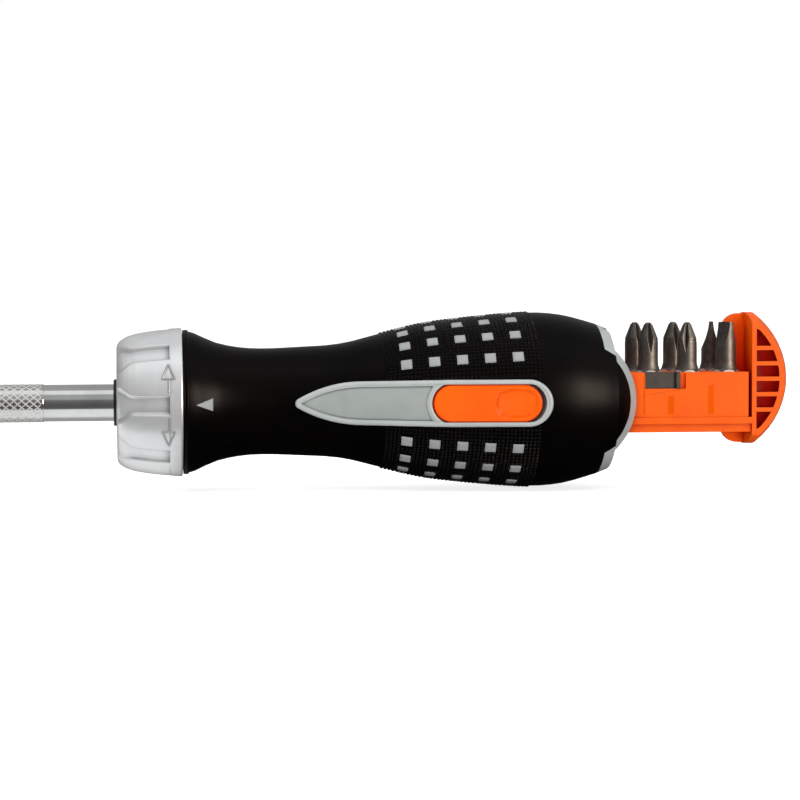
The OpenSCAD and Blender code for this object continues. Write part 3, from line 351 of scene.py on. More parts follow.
def piece(name, points, faces, surface, body, slot, replaces=(), smooth=35):
    """A mesh piece that rides on a body, if one is named. Its points are in millimetres."""
    mesh = bpy.data.meshes.new(name)
    mesh.from_pydata([[c * MM for c in p] for p in points], [], faces)
    mesh.validate()
    bm = bmesh.new()
    bm.from_mesh(mesh)
    bmesh.ops.remove_doubles(bm, verts=bm.verts, dist=1e-7)
    bmesh.ops.recalc_face_normals(bm, faces=bm.faces)
    bm.to_mesh(mesh)
    bm.free()
    mesh.materials.append(finish(surface))
    made = bpy.data.objects.new(name, mesh)
    bpy.context.scene.collection.objects.link(made)
    mesh.shade_smooth()
    mesh.set_sharp_from_angle(angle=radians(smooth))
    if body:
        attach(made, body)
    if replaces:
        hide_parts(*replaces)
    return made


def sheet_faces(rows, columns, round_rows=False, round_columns=False):
    """Faces of a grid of points that lie row after row."""

    def at(i, j):
        return i % rows * columns + j % columns

    return [
        (at(i, j), at(i, j + 1), at(i + 1, j + 1), at(i + 1, j))
        for i in range(rows if round_rows else rows - 1)
        for j in range(columns if round_columns else columns - 1)
    ]


def stack(rings, closed=False):
    """Points and faces of a tube of rings of points. It closes on itself, or else at its ends."""
    points, n = sum(rings, []), len(rings[0])
    faces = sheet_faces(len(rings), n, round_rows=closed, round_columns=True)
    if not closed:
        faces += [list(range(n)), list(range(len(points) - n, len(points)))]
    return points, faces


def joined(*parts):
    """Several (points, faces) pairs as one."""
    points, faces = [], []
    for more, skin in parts:
        faces += [[i + len(points) for i in f] for f in skin]
        points += more
    return points, faces


def angles(n):
    """Even steps round a circle."""
    return [tau * k / n for k in range(n)]


def turned(profile, steps, shape=lambda x, r, a: r):
    """Points and faces of a closed (x, radius) profile turned round. shape changes a radius."""

    def point(x, r, a):
        r = shape(x, r, a)
        return (x, r * sin(a), -r * cos(a))

    return stack([[point(x, r, a) for a in angles(steps)] for x, r in profile], closed=True)


def between(a, b, n):
    """Points from a to b in n even steps, without the last one."""
    return [tuple(p + (q - p) * k / n for p, q in zip(a, b)) for k in range(n)]


def outline_r(outline, at):
    """Radius of an outline of (station, radius) points at a station."""
    for (x0, r0), (x1, r1) in zip(outline, outline[1:]):
        if at <= x1:
            return r0 + (r1 - r0) * max(0.0, at - x0) / (x1 - x0)
    return outline[-1][1]


def ease(t):
    """A soft step from 0 to 1."""
    t = min(1.0, max(0.0, t))
    return t * t * (3 - 2 * t)


def ray_tree(*names):
    """A search tree over the CAD nodes of those names."""
    meshes = [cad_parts[n].data for n in names]
    solids = [([v.co.copy() for v in m.vertices], [p.vertices for p in m.polygons]) for m in meshes]
    return BVHTree.FromPolygons(*joined(*solids))


SKIN = ray_tree("grip_overmold")
BODY = ray_tree("grip_overmold", "handle_core")
# A line along the handle that no square, panel or slot crosses
CLEAR_LINE = radians(SQUARE_FREE + 8.5 * SQUARE_TURN)
FAR = 40 * MM


def hit(tree, x, angle):
    """Radius in millimetres where a ray from outside meets the tree, at an angle from -Y, or None."""
    out = Vector((0, -cos(angle), sin(angle)))
    found = tree.ray_cast(Vector((x * MM, 0, 0)) + out * FAR, -out)[0]
    return hypot(found.y, found.z) / MM if found else None


HANDLE_R = [
    hit(BODY, HANDLE_X[0] + (HANDLE_X[1] - HANDLE_X[0]) * k / HANDLE_STEPS, CLEAR_LINE)
    for k in range(HANDLE_STEPS + 1)
]


def handle_r(x):
    """Radius of the handle at a station, in millimetres."""
    t = (x - HANDLE_X[0]) / (HANDLE_X[1] - HANDLE_X[0]) * HANDLE_STEPS
    t = min(HANDLE_STEPS - 1e-6, max(0.0, t))
    k = int(t)
    return HANDLE_R[k] + (HANDLE_R[k + 1] - HANDLE_R[k]) * (t - k)


def on_front(x, z, out):
    """The point over (x, z) on the front of the handle, a height above its outline."""
    return (x, -sqrt(max(0.01, (handle_r(x) + out) ** 2 - z * z)), z)


def round_handle(x, angle, out):
    """The point at a station and an angle from -Y, a height above the handle's outline."""
    r = handle_r(x) + out
    return (x, -r * cos(angle), r * sin(angle))


def tool_size(name, default, description):
    """One of the tool's sizes, with its default in millimetres."""
    return bpy.props.FloatProperty(
        name=name, description=description, default=default * MM, unit="LENGTH", subtype="DISTANCE")


class ToolSizes(bpy.types.PropertyGroup):
    knurl_pitch: tool_size("Knurl pitch", 2.13, "Spacing of the knurl's diamonds")
    knurl_depth: tool_size("Knurl depth", 0.4, "Height of the knurl's lattice over its pits")
    flute_width: tool_size("Flute width", 4.6, "Width of the collar's finger flutes")
    flute_depth: tool_size("Flute depth", 1.15, "Depth of the collar's finger flutes")
    grain_height: tool_size("Grain height", 0.34, "Height of the grip's pyramids")
    square_rise: tool_size("Square rise", 0.3, "Height of the grip squares over the rubber")
    dish_depth: tool_size("Dish depth", 1.3, "Depth of the thumb dish in the button")


def tool_colour(name, surface, description):
    """The first colour of a finish, linear."""
    return bpy.props.FloatVectorProperty(
        name=name, description=description, default=srgb(FINISHES[surface].base), min=0.0, max=1.0,
        subtype="COLOR")


class ToolColours(bpy.types.PropertyGroup):
    soft_rubber: tool_colour("Rubber", "soft_rubber", "Colour of the grip's skin")
    satin_abs: tool_colour("Grey plastic", "satin_abs", "Colour of the handle's core")
    orange_abs: tool_colour("Orange plastic", "orange_abs", "Colour of the button and the magazine")


def size(name):
    """One of the tool's sizes, in millimetres."""
    return getattr(bpy.context.scene.screwdriver_sizes, name) / MM


class SCREWDRIVER_OT_knurl(Operator):
    """Rolls the diamond knurl round the blade's finger zone"""

    bl_idname = "screwdriver.knurl"
    bl_label = "Blade knurl"

    # Diamonds round the blade, mesh steps to each, and the length over which the ends fade
    AROUND = 18
    CELLS = 12
    FADE = 0.7
    # Heights over the plain shaft: the faded ends, the lattice, and the shell's hidden rims
    LEVELS = (-0.06, 0.17, -0.3)

    def execute(self, context):
        pitch, depth = size("knurl_pitch"), size("knurl_depth")
        rows = round((KNURL[1] - KNURL[0]) / pitch * self.CELLS)
        low, top, hidden = (SHAFT_RADIUS + level for level in self.LEVELS)

        def tooth(x, r, angle):
            if r:
                return r
            u, v = (x - KNURL[0]) / pitch, angle / tau * self.AROUND
            ridge = max(abs(2 * ((u + v) % 1.0) - 1), abs(2 * ((u - v) % 1.0) - 1))
            ends = ease(min(x - KNURL[0], KNURL[1] - x) / self.FADE)
            return low + (top - low) * ends - depth * ends * (1 - ease((ridge - 0.1) / 0.72))

        zone = [(KNURL[0] + (KNURL[1] - KNURL[0]) * k / rows, None) for k in range(rows + 1)]
        shell = [(KNURL[0] - 0.2, hidden)] + zone + [(KNURL[1] + 0.2, hidden)]
        knurl = turned(shell, self.AROUND * self.CELLS, tooth)
        piece("blade_knurl", *knurl, "rolled_knurl", "blade", "steel", smooth=28)
        return {"FINISHED"}


class SCREWDRIVER_OT_collar(Operator):
    """Builds the fluted direction collar and its two raised arrows"""

    bl_idname = "screwdriver.collar"
    bl_label = "Direction collar"

    # Distance behind the collar's front and radius
    OUTLINE = (
        (0.0, 15.8), (0.12, 16.3), (0.35, 16.75), (0.8, 17.2), (1.7, 17.75), (3.0, 18.25), (5.0, 18.8),
        (7.5, 19.25), (10.0, 19.6), (12.0, 19.8), (13.75, 19.92), (13.95, 19.92), (14.08, 19.83),
        (14.28, 19.84), (14.45, 19.9), (16.9, 20.05), (17.3, 20.0), (17.5, 19.8)
    )
    # Under this radius lie the bores, which have no flutes
    BORES_R = 15.5
    OUTLINE_STEP = 0.28
    FACE_STEPS = 56
    FLUTE_END = COLLAR_BAND + 0.05
    FLUTE_FLARE = 2.1
    FLUTE_SHOULDER = 0.42
    PAD_CROWN = 0.16
    # Each arrow's station and half width, and how far round the collar its tip, base and tail lie
    ARROW_X = COLLAR[0] + COLLAR_BAND - 0.35
    ARROW_HALF = 1.65
    ARROW_TIP, ARROW_BASE, ARROW_TAIL = 11.4, 7.1, 3.4
    ARROW_R = 20.0
    ARROW_WIRE = 0.22

    def fluted(self, x, r, angle):
        """Radius of the collar's outside with the flutes pressed in."""
        along = x - COLLAR[0]
        if r < self.BORES_R or along > self.FLUTE_END:
            return r
        sector = tau / COLLAR_FACES
        off = abs((angle + sector / 2) % sector - sector / 2) * r
        # Each flute widens towards the front, and the pads between them are slightly domed
        flare = self.FLUTE_FLARE * (1 - ease((along - 0.3) / 4.2))
        shoulder = self.FLUTE_SHOULDER
        inside = 1 - ease((off - size("flute_width") / 2 - flare + shoulder) / (2 * shoulder))
        floor = size("flute_depth") * inside
        crown = self.PAD_CROWN * ease(1 - off / (sector * r / 2)) * (1 - inside)
        wall = ease((self.FLUTE_END - along) / 0.12)
        return r - (floor + crown) * wall

    def wire(self, line, closed):
        """A thin half-sunk ridge along (x, distance round) points on the collar."""
        count, dense = len(line), []
        for i in range(count if closed else count - 1):
            dense += between(line[i], line[(i + 1) % count], 24)
        if not closed:
            dense.append(line[-1])

        def point(x, s, nx, ns, a):
            x += nx * cos(a)
            angle = pi / 2 + (s + ns * cos(a)) / self.ARROW_R
            r = self.fluted(x, outline_r(self.OUTLINE, x - COLLAR[0]), angle)
            r += self.ARROW_WIRE * 1.15 * sin(a)
            return (x, -r * sin(angle), -r * cos(angle))

        rings = []
        for i, (x, s) in enumerate(dense):
            before = dense[i - 1] if closed or i else dense[i]
            after = dense[(i + 1) % len(dense)] if closed or i + 1 < len(dense) else dense[i]
            dx, ds = after[0] - before[0], after[1] - before[1]
            span = hypot(dx, ds) or 1.0
            nx, ns = -ds / span * self.ARROW_WIRE, dx / span * self.ARROW_WIRE
            rings.append([point(x, s, nx, ns, a) for a in angles(8)])
        return stack(rings, closed)

    def execute(self, context):
        dense = []
        for one, two in zip(self.OUTLINE, self.OUTLINE[1:]):
            dense += between(one, two, max(1, round((two[0] - one[0]) / self.OUTLINE_STEP)))
        shell = [(COLLAR[0] + x, r) for x, r in dense + [self.OUTLINE[-1]]]
        shell += [
            (COLLAR[1], COLLAR_BORES[1] + 0.3), (COLLAR[1] - 0.3, COLLAR_BORES[1]),
            (COLLAR_BORE_X, COLLAR_BORES[1]), (COLLAR_BORE_X, COLLAR_BORES[0]),
            (COLLAR[0] + 0.2, COLLAR_BORES[0]), (COLLAR[0], COLLAR_BORES[0] + 0.2)
        ]
        piece(
            "direction_collar", *turned(shell, COLLAR_FACES * self.FACE_STEPS, self.fluted),
            "anodised_aluminium", "selector", "collar", replaces=["selector_collar"], smooth=50)
        half, base = self.ARROW_HALF, self.ARROW_BASE
        for side, word in ((1, "forward"), (-1, "reverse")):
            corners = ((0.0, self.ARROW_TIP), (half, base), (-half, base))
            head = [(self.ARROW_X + dx, side * s) for dx, s in corners]
            shaft = [(self.ARROW_X + 0.12, side * s) for s in (base, self.ARROW_TAIL)]
            lines = joined(self.wire(head, True), self.wire(shaft, False))
            piece("arrow_" + word, *lines, "anodised_edge", "selector", "collar", smooth=60)
        return {"FINISHED"}


class SCREWDRIVER_OT_grain(Operator):
    """Raises the fine pyramids of the grip round the squares and the panel"""

    bl_idname = "screwdriver.grain"
    bl_label = "Grip grain"

    # Half a pyramid's foot in cells, the share of it left at the flat tip, and the foot's depth
    HALF = 0.46
    TIP = 0.22
    SUNK = 0.12
    # A pyramid stands only where the skin is less than this under the handle's outline
    SKIN_GAP = 0.3

    def execute(self, context):
        pitch = SQUARE_PITCH / GRAIN_CELLS
        step = radians(SQUARE_TURN) / GRAIN_CELLS
        corners = [(a * self.HALF, b * self.HALF) for a, b in ((-1, -1), (1, -1), (1, 1), (-1, 1))]
        first, last = (round((x - SQUARE_X) / pitch) for x in GRAIN_ZONE)
        turn = round(tau / step / 2)
        pyramids = []
        for i in range(first, last + 1):
            x = SQUARE_X + i * pitch
            for k in range(-turn, turn):
                for side in (-1, 1):
                    angle = side * (radians(SQUARE_FREE) + k * step)
                    if not 0 <= side * angle <= pi:
                        continue
                    base = [(x + a * pitch, angle + b * step) for a, b in corners]
                    if any((hit(SKIN, px, pa) or 0) < handle_r(px) - self.SKIN_GAP for px, pa in base):
                        continue
                    pyramids.append(stack([
                        [
                            round_handle(x + a * pitch * share, angle + b * step * share, rise)
                            for a, b in corners
                        ]
                        for share, rise in ((1.0, -self.SUNK), (self.TIP, size("grain_height")))
                    ]))
        piece("grip_grain", *joined(*pyramids), "grain_rubber", "handle", "soft_skin", smooth=20)
        return {"FINISHED"}


def pad_on_handle(x, angle, side, low, high, edge, cells=5):
    """Points and faces of a square pad with rounded edges that follows the handle."""
    rim = 2 * edge / side
    marks = [-1.0, -1 + rim] + [-1 + rim + (2 - 2 * rim) * k / cells for k in range(1, cells)]
    marks += [1 - rim, 1.0]

    def point(a, b, out):
        px = x + a * side / 2
        return round_handle(px, angle + b * side / 2 / handle_r(px), out)

    points = [
        point(a, b, high - (edge * 0.7 if max(abs(a), abs(b)) > 0.99 else 0.0))
        for a in marks for b in marks
    ]
    n = len(marks)
    start = n * n
    border = (
        [(0, j) for j in range(n)] + [(i, n - 1) for i in range(1, n)]
        + [(n - 1, j) for j in range(n - 2, -1, -1)] + [(i, 0) for i in range(n - 2, 0, -1)]
    )
    points += [point(marks[i], marks[j], low) for i, j in border]
    faces = sheet_faces(n, n)
    for k, (i, j) in enumerate(border):
        m = (k + 1) % len(border)
        faces.append([i * n + j, border[m][0] * n + border[m][1], start + m, start + k])
    faces.append([start + k for k in range(len(border))])
    return points, faces


class SCREWDRIVER_OT_squares(Operator):
    """Sets the light squares into the grip"""

    bl_idname = "screwdriver.squares"
    bl_label = "Grip squares"

    SUNK = 0.3
    EDGE = 0.18

    def execute(self, context):
        pads = [
            pad_on_handle(
                SQUARE_X + c * SQUARE_PITCH, radians(SQUARE_FREE + r * SQUARE_TURN), SQUARE_SIDE,
                -self.SUNK, size("square_rise"), self.EDGE)
            for c in range(SQUARE_COLUMNS) for r in range(SQUARE_ROWS)
        ]
        piece("grip_squares", *joined(*pads), "worn_abs", "handle", "light_plastic", smooth=60)
        return {"FINISHED"}


def panel_line():
    """The panel's outline as (x, z, outward x, outward z, widest inset) in order round it."""
    line = []

    def arc(cx, cz, r, a0, a1, n, widest=9):
        for k in range(n):
            a = a0 + (a1 - a0) * k / n
            line.append((cx + r * cos(a), cz + r * sin(a), cos(a), sin(a), widest))

    def straight(x0, z0, x1, z1, n=16):
        dx, dz = x1 - x0, z1 - z0
        span = hypot(dx, dz)
        line.extend((x0 + dx * (k / n), z0 + dz * (k / n), -dz / span, dx / span, 9) for k in range(n))

    ox, drop, r = OGIVE["x"], OGIVE["drop"], OGIVE["r"]
    taper_x, end_x = ox + OGIVE["taper"], PANEL_END - PANEL_HALF
    up = pi / 2
    side_a = up + acos(min(1, drop / (r - TIP_RADIUS)))
    arc(TIP_X, 0, TIP_RADIUS, tau - side_a, side_a, 15, widest=1.1)
    arc(ox, -drop, r, side_a, up, 26)
    straight(ox, OGIVE["half"], taper_x, PANEL_HALF)
    straight(taper_x, PANEL_HALF, end_x, PANEL_HALF)
    arc(end_x, 0, PANEL_HALF, up, -up, 32)
    straight(end_x, -PANEL_HALF, taper_x, -PANEL_HALF)
    straight(taper_x, -PANEL_HALF, ox, -OGIVE["half"])
    arc(ox, drop, r, tau - up, tau - side_a, 26)
    return line


def bead(line, section, closed):
    """A rounded rib along a line on the handle's front, with a section of (inset, height) points."""
    return stack([
        [on_front(x - nx * min(i, widest), z - nz * min(i, widest), h) for i, h in section]
        for x, z, nx, nz, widest in line
    ], closed)


class SCREWDRIVER_OT_panel(Operator):
    """Lays the panel's rounded rim, its bare sunk floor and the pointer on the handle"""

    bl_idname = "screwdriver.panel"
    bl_label = "Thumb panel"

    # Inset from the panel's outline and height over the handle, round the rim's section
    RIM = (
        (-0.12, -0.4), (-0.17, 0.12), (-0.09, 0.42), (0.06, 0.58), (0.3, PANEL_PROUD + 0.3),
        (0.62, PANEL_PROUD + 0.3), (0.86, 0.56), (1.0, 0.42), (1.05, 0.12), (1.05, -0.4)
    )
    # The bead between the floor and the button: its middle, radius, angles in degrees and shift
    CROSS_X = BUTTON[0] + BUTTON_RADIUS
    CROSS_R = BUTTON_RADIUS + 0.85
    CROSS_FROM, CROSS_TURN, CROSS_STEPS = 128, 104, 32
    CROSS_SHIFT = 0.45
    # The floor: radius and half width of its hollow end, its height, edge and thickness
    HOLLOW_R = BUTTON_RADIUS + 1.6
    HOLLOW_HALF = 4.6
    FLOOR = PANEL_PROUD - 0.46
    FLOOR_EDGE = 0.6
    FLOOR_THICK = 0.3
    ROWS, COLUMNS = 64, 25
    # Share of the pointer's outline and height over the handle, ring by ring
    POINTER_RINGS = ((1.0, -0.3), (1.0, 0.08), (0.93, 0.16), (0.5, 0.17), (0.05, 0.17))

    def rim(self):
        """The rounded rim, with the bead across it in front of the button."""
        cross = []
        for k in range(self.CROSS_STEPS + 1):
            a = radians(self.CROSS_FROM + self.CROSS_TURN * k / self.CROSS_STEPS)
            c, s = cos(a), sin(a)
            cross.append((self.CROSS_X + self.CROSS_R * c, self.CROSS_R * s, c, s, 9))
        across = [(inset - self.CROSS_SHIFT, height) for inset, height in self.RIM]
        beads = joined(bead(panel_line(), self.RIM, True), bead(cross, across, False))
        piece("panel_rim", *beads, "satin_abs", "handle", "light_plastic", smooth=60)

    def floor(self):
        """The bare floor, row after row across its face and back under it."""
        inner = OGIVE["r"] - PANEL_RIM
        tip = OGIVE["x"] - sqrt(inner ** 2 - OGIVE["drop"] ** 2)

        def half_at(x):
            if x < OGIVE["x"]:
                return max(0.0, sqrt(max(0.0, inner ** 2 - (OGIVE["x"] - x) ** 2)) - OGIVE["drop"])
            widening = (PANEL_HALF - OGIVE["half"]) * min(1.0, (x - OGIVE["x"]) / OGIVE["taper"])
            return OGIVE["half"] - PANEL_RIM + widening

        across = [-1 + 2 * j / (self.COLUMNS - 1) for j in range(self.COLUMNS)]
        loop = [(v, 0.0) for v in across] + [(v, self.FLOOR_THICK) for v in reversed(across)]

        def point(i, v, under):
            end = self.CROSS_X - sqrt(self.HOLLOW_R ** 2 - (v * self.HOLLOW_HALF) ** 2)
            x = tip + (end - tip) * i / self.ROWS
            half = half_at(x)
            edge = min(half * (1 - abs(v)), end - x, self.FLOOR_EDGE) / self.FLOOR_EDGE
            rise = self.FLOOR + 0.05 * (1 - ease(edge)) ** 2
            return on_front(x, v * half, rise - under)

        rings = [[point(i, *at) for at in loop] for i in range(self.ROWS + 1)]
        piece("panel_floor", *stack(rings), "eroded_abs", "handle", "light_plastic", smooth=60)

    def pointer(self):
        """The light triangle behind the collar."""
        tip, long, wide = POINTER
        corners = ((tip, 0.0), (tip + long, wide / 2), (tip + long, -wide / 2))
        line = [p for i in range(3) for p in between(corners[i], corners[(i + 1) % 3], 14)]
        middle = tip + long * 0.66
        rings = [
            [on_front(middle + (x - middle) * share, z * share, rise) for x, z in line]
            for share, rise in self.POINTER_RINGS
        ]
        piece("pointer", *stack(rings), "worn_abs", "handle", "light_plastic", smooth=40)

    def execute(self, context):
        self.rim()
        self.floor()
        self.pointer()
        return {"FINISHED"}


class SCREWDRIVER_OT_button(Operator):
    """Moulds the release button with its soft thumb dish, pivot boss and plunger"""

    bl_idname = "screwdriver.button"
    bl_label = "Release button"

    # How far in from the button's outline each ring of its face lies
    INSETS = (0.0, 0.03, 0.1, 0.2, 0.35, 0.55, 0.9, 1.3, 1.8, 2.3, 2.8, 3.3, 3.8, 4.3, 4.7, 5.0)
    # Inset and drop of each ring of the painted shade shell round the button's edge, and how far it
    # stands off
    CREASE = ((0.0, 1.6), (0.0, 0.0), (0.03, 0.0), (0.1, 0.0), (0.2, 0.0), (0.32, 0.0), (0.33, 0.03))
    CREASE_OFF = 0.012
    ARC_STEPS, SIDE_STEPS, POST_STEPS = 28, 46, 40
    BOSS_RADIUS, BOSS_HALF = 2.0, 4.0

    def height(self, x, z, edge):
        """Height over the handle's outline, lower at the rounded edge and in the dish."""
        middle, half_x, half_z, power = DISH
        dx, dz = (x - middle) / half_x, z / half_z
        inside = 1 - (abs(dx) ** power + abs(dz) ** power) ** (1 / power)
        # A steep step down at the dish's edge, then a slow fall to its middle
        deep = 0.6 * ease(inside / 0.1) + 0.4 * ease(inside / 0.8)
        turn = min(1.0, edge / BUTTON_ROUND)
        return BUTTON_RAISE - 0.5 * (1 - sqrt(1 - (1 - turn) ** 2)) - size("dish_depth") * deep

    def outline(self):
        """The button's outline as (x of the arc's middle, outward x, outward z) in order round it."""
        x0, x1 = BUTTON[0] + BUTTON_RADIUS, BUTTON[1] - BUTTON_RADIUS
        around = []
        for x, to, first in ((x0, x1, pi / 2), (x1, x0, -pi / 2)):
            for k in range(self.ARC_STEPS):
                a = first + pi * k / self.ARC_STEPS
                around.append((x, cos(a), sin(a)))
            side = -1.0 if to > x else 1.0
            around += between((x, 0.0, side), (to, 0.0, side), self.SIDE_STEPS)
        return around

    def rings(self, around, rows, off=0.0):
        """Rings of points, each at an inset from the outline and let down by a drop."""

        def point(x, nx, nz, inset, drop):
            r = BUTTON_RADIUS + off - inset
            px, pz = x + nx * r, nz * r
            return on_front(px, pz, self.height(px, pz, inset) + off - drop)

        return [[point(*at, inset, drop) for at in around] for inset, drop in rows]

    def post(self, cx, cy, r, low, high):
        """A round post along Z, from low to high."""
        return [
            [(cx + r * cos(a), cy + r * sin(a), end) for a in angles(self.POST_STEPS)]
            for end in (low, high)
        ]

    def execute(self, context):
        around = self.outline()
        r = BUTTON_RADIUS
        base = [on_front(x + nx * r, nz * r, -BUTTON_SHELL) for x, nx, nz in around]
        face = self.rings(around, [(inset, 0.0) for inset in self.INSETS])
        sides = sheet_faces(len(face) + 1, len(around), round_columns=True)
        x, deep, radius = PLUNGER
        plunger = self.post(x, 0.0, radius, -deep, -handle_r(x) + BUTTON_SHELL - 0.5)
        boss = self.post(PIVOT[0], -PIVOT[1], self.BOSS_RADIUS, -self.BOSS_HALF, self.BOSS_HALF)
        parts = joined(
            (sum(face, base), sides + [list(range(len(around)))]), stack(boss),
            stack([[(x, z, y) for x, y, z in ring] for ring in plunger]))
        piece(
            "thumb_button", *parts, "orange_abs", "button", "orange_plastic",
            replaces=["release_button"], smooth=40)
        # A thin dark red shell over the button's edge: painted shade in the crease
        crease = stack(self.rings(around, self.CREASE, self.CREASE_OFF), closed=True)
        piece("button_crease_shade", *crease, "creased_orange", "button", "orange_plastic", smooth=60)
        return {"FINISHED"}


class SCREWDRIVER_OT_springs(Operator):
    """Winds the five coil springs with closed ends"""

    bl_idname = "screwdriver.springs"
    bl_label = "Coil springs"

    # Steps to a turn, points round the wire, and the turns that lie closed at each end
    TURN_STEPS, RING, DEAD = 28, 12, 0.7
    # How far from a spring's ends it stops following what it stands on
    FOOT = 0.4
    # A point on the eject spring's line, how far in front of it the spring starts, and its shut length
    EJECT_START = (167.5, 0, -1.5)
    EJECT_BACK = 41.45
    EJECT_SHUT = 41.0

    def coil(self, name, node, start, direction, length, radius, wire, turns, press=None, foot=None):
        """A coil along a direction. press is the joint that shortens it and by how much, and foot the
        body that its first turn stands on; here a coil with a press only gets a mesh of its own, and
        one with a foot rides on no body, its place baked into its mesh."""
        axis = Vector(direction).normalized()
        across = axis.orthogonal().normalized()
        other = axis.cross(across)
        steps, dead = int(turns * self.TURN_STEPS), self.DEAD
        rings = []
        for i in range(steps + 1):
            # A turn at each end lies closed, and the rest are spread evenly
            t = i / steps * turns
            share = ease((t - dead * 0.5) / (turns - dead)) * 0.25 + 0.75 * min(
                1.0, max(0.0, (t - dead) / (turns - 2 * dead)))
            along = wire + (length - 2 * wire) * share
            out = across * cos(tau * t) + other * sin(tau * t)
            rings.append([
                tuple(Vector(start) + axis * (along + wire * sin(b)) + out * (radius + wire * cos(b)))
                for b in angles(self.RING)
            ])
        body = None if foot else "handle"
        made = piece(name, *stack(rings), "spring_wire", body, "spring", replaces=[node], smooth=60)
        if press:
            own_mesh(made)
        if foot:
            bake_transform(made)

    def execute(self, context):
        for side, word, pawl in ((1, "forward", "pawl_a"), (-1, "reverse", "pawl_b")):
            self.coil(
                "lift_coil_" + word, "pawl_spring_" + word, (90.3, 0, side * 9.45), (0, 0, side),
                2.7, 0.85, 0.15, 4.5, foot=pawl)
        self.coil("detent_coil", "detent_spring", (97.2, 7.65, 0), (0, 1, 0), 3.5, 0.8, 0.17, 5.5)
        lo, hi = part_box("button_spring")
        self.coil(
            "button_coil", "button_spring", (177.5, hi.y / MM, 0), (0, -1, 0), (hi.y - lo.y) / MM,
            1.6, 0.24, 4.5, press=("button_press", 0.72))
        incline = atan(SLIDE_FALL / SLIDE_RUN)
        slide = SLIDE_RUN / cos(incline)
        way = Vector((cos(incline), 0, sin(incline)))
        first = Vector(self.EJECT_START) - way * self.EJECT_BACK
        self.coil(
            "eject_coil", "eject_spring", first, way, self.EJECT_SHUT + slide, 2.5, 0.34, 24,
            press=("magazine_slide", slide))
        return {"FINISHED"}


def flat_r(half, direction):
    """Radius of a flat at half a width from the middle, along a direction of that cosine."""
    return half / max(1e-3, abs(direction))


class SCREWDRIVER_OT_bits(Operator):
    """Grinds the six bits with their cross flutes and blades"""

    bl_idname = "screwdriver.bits"
    bl_label = "Bits"

    LENGTH = 25.0
    # Height of the hexagon and its width across flats
    HEX = 12.55
    FLATS = 6.35
    # Radius of the body, and of the pointed tip's end
    BODY_R = 2.6
    TIP_R = 0.9
    # Half a flute's web at the tip, and the flutes' length
    FLUTE = (0.36, 8.3)
    STEPS = 144
    # Kind, and the turn of its flutes or of its blade, in degrees
    KINDS = {
        "phillips_front": ("cross", 3), "phillips_back": ("cross", 20), "pozi_front": ("star", -20),
        "pozi_back": ("star", 12), "slotted_front": ("blade", 22), "slotted_back": ("blade", 166)
    }
    # Height over the foot and radius
    OUTLINE = (
        (0.0, 3.1), (0.06, 3.17), (0.4, 3.5), (0.5, 3.55), (11.75, 3.55), (11.85, 3.5), (12.45, 3.04),
        (12.55, 2.99), (12.95, 2.9), (13.4, 2.74), (13.9, 2.64), (14.6, 2.6), (19.8, 2.6),
        (19.98, 2.54)
    )

    def radius(self, kind, turn, z, angle):
        """Radius of the bit's outside at a height over its foot and an angle round it."""
        drop = self.LENGTH - z
        r = outline_r(self.OUTLINE, z)
        if z <= self.HEX:
            side = tau / 6
            r = min(r, self.FLATS / 2 / cos(angle % side - side / 2))
        a = angle + pi / 2 - radians(turn)
        if kind == "blade":
            # Two faces that part in a curve up from the edge
            thick = 0.55 + 2.1 * max(0.0, drop / 7.4) ** 1.7
            return min(self.BODY_R if drop < 5.2 else r, flat_r(thick, sin(a)))
        # The tip is a cone with a rounded point
        if drop < 4.4:
            r = min(r, self.TIP_R + 1.7 * drop / 4.4)
        if drop < 0.4:
            r = min(r, self.TIP_R - 0.45 * (1 - drop / 0.4) ** 2)
        # Four flutes run out along the body, and the star kind has four fine ribs in them
        web, length = self.FLUTE
        wing = web + (self.BODY_R / sqrt(2) - web) * drop / length
        a += pi / 4
        if drop < length:
            r = min(r, flat_r(wing, min(abs(cos(a)), abs(sin(a)))))
            if kind == "star" and drop < 4.6:
                off = a + pi / 4
                rib = flat_r(0.2, min(abs(sin(off)), abs(cos(off))))
                r = max(r, min(0.6 + 0.2 * drop, rib))
        return r

    def execute(self, context):
        # Rings where the outline bends, close together at the tip and under the hexagon's chamfer
        marks = sorted(
            {z for z, r in self.OUTLINE} | {self.LENGTH - d for d in (0.0, 0.1, 0.22, 0.4)}
            | {self.LENGTH - 0.4 - 10.4 * k / 52 for k in range(53)}
            | {self.HEX - 0.1 * k for k in range(1, 8)})
        for name, (kind, turn) in self.KINDS.items():
            lo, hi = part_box("bit_" + name)
            x, y, foot = (lo.x + hi.x) / 2 / MM, (lo.y + hi.y) / 2 / MM, lo.z / MM

            def point(z, a):
                r = self.radius(kind, turn, z, a)
                return (x + r * cos(a), y + r * sin(a), foot + z)

            made = piece(
                "ground_" + name, *stack([[point(z, a) for a in angles(self.STEPS)] for z in marks]),
                "phosphated_steel", "bit_" + name, "bit_steel", replaces=["bit_" + name], smooth=32)
            # The hexagon's sides take a bright finish: a painted highlight
            made.data.materials.append(finish("hexagon_highlight"))
            for face in made.data.polygons:
                if abs(face.normal.z) < 0.2 and face.center.z / MM - foot < self.HEX:
                    face.material_index = 1
        return {"FINISHED"}


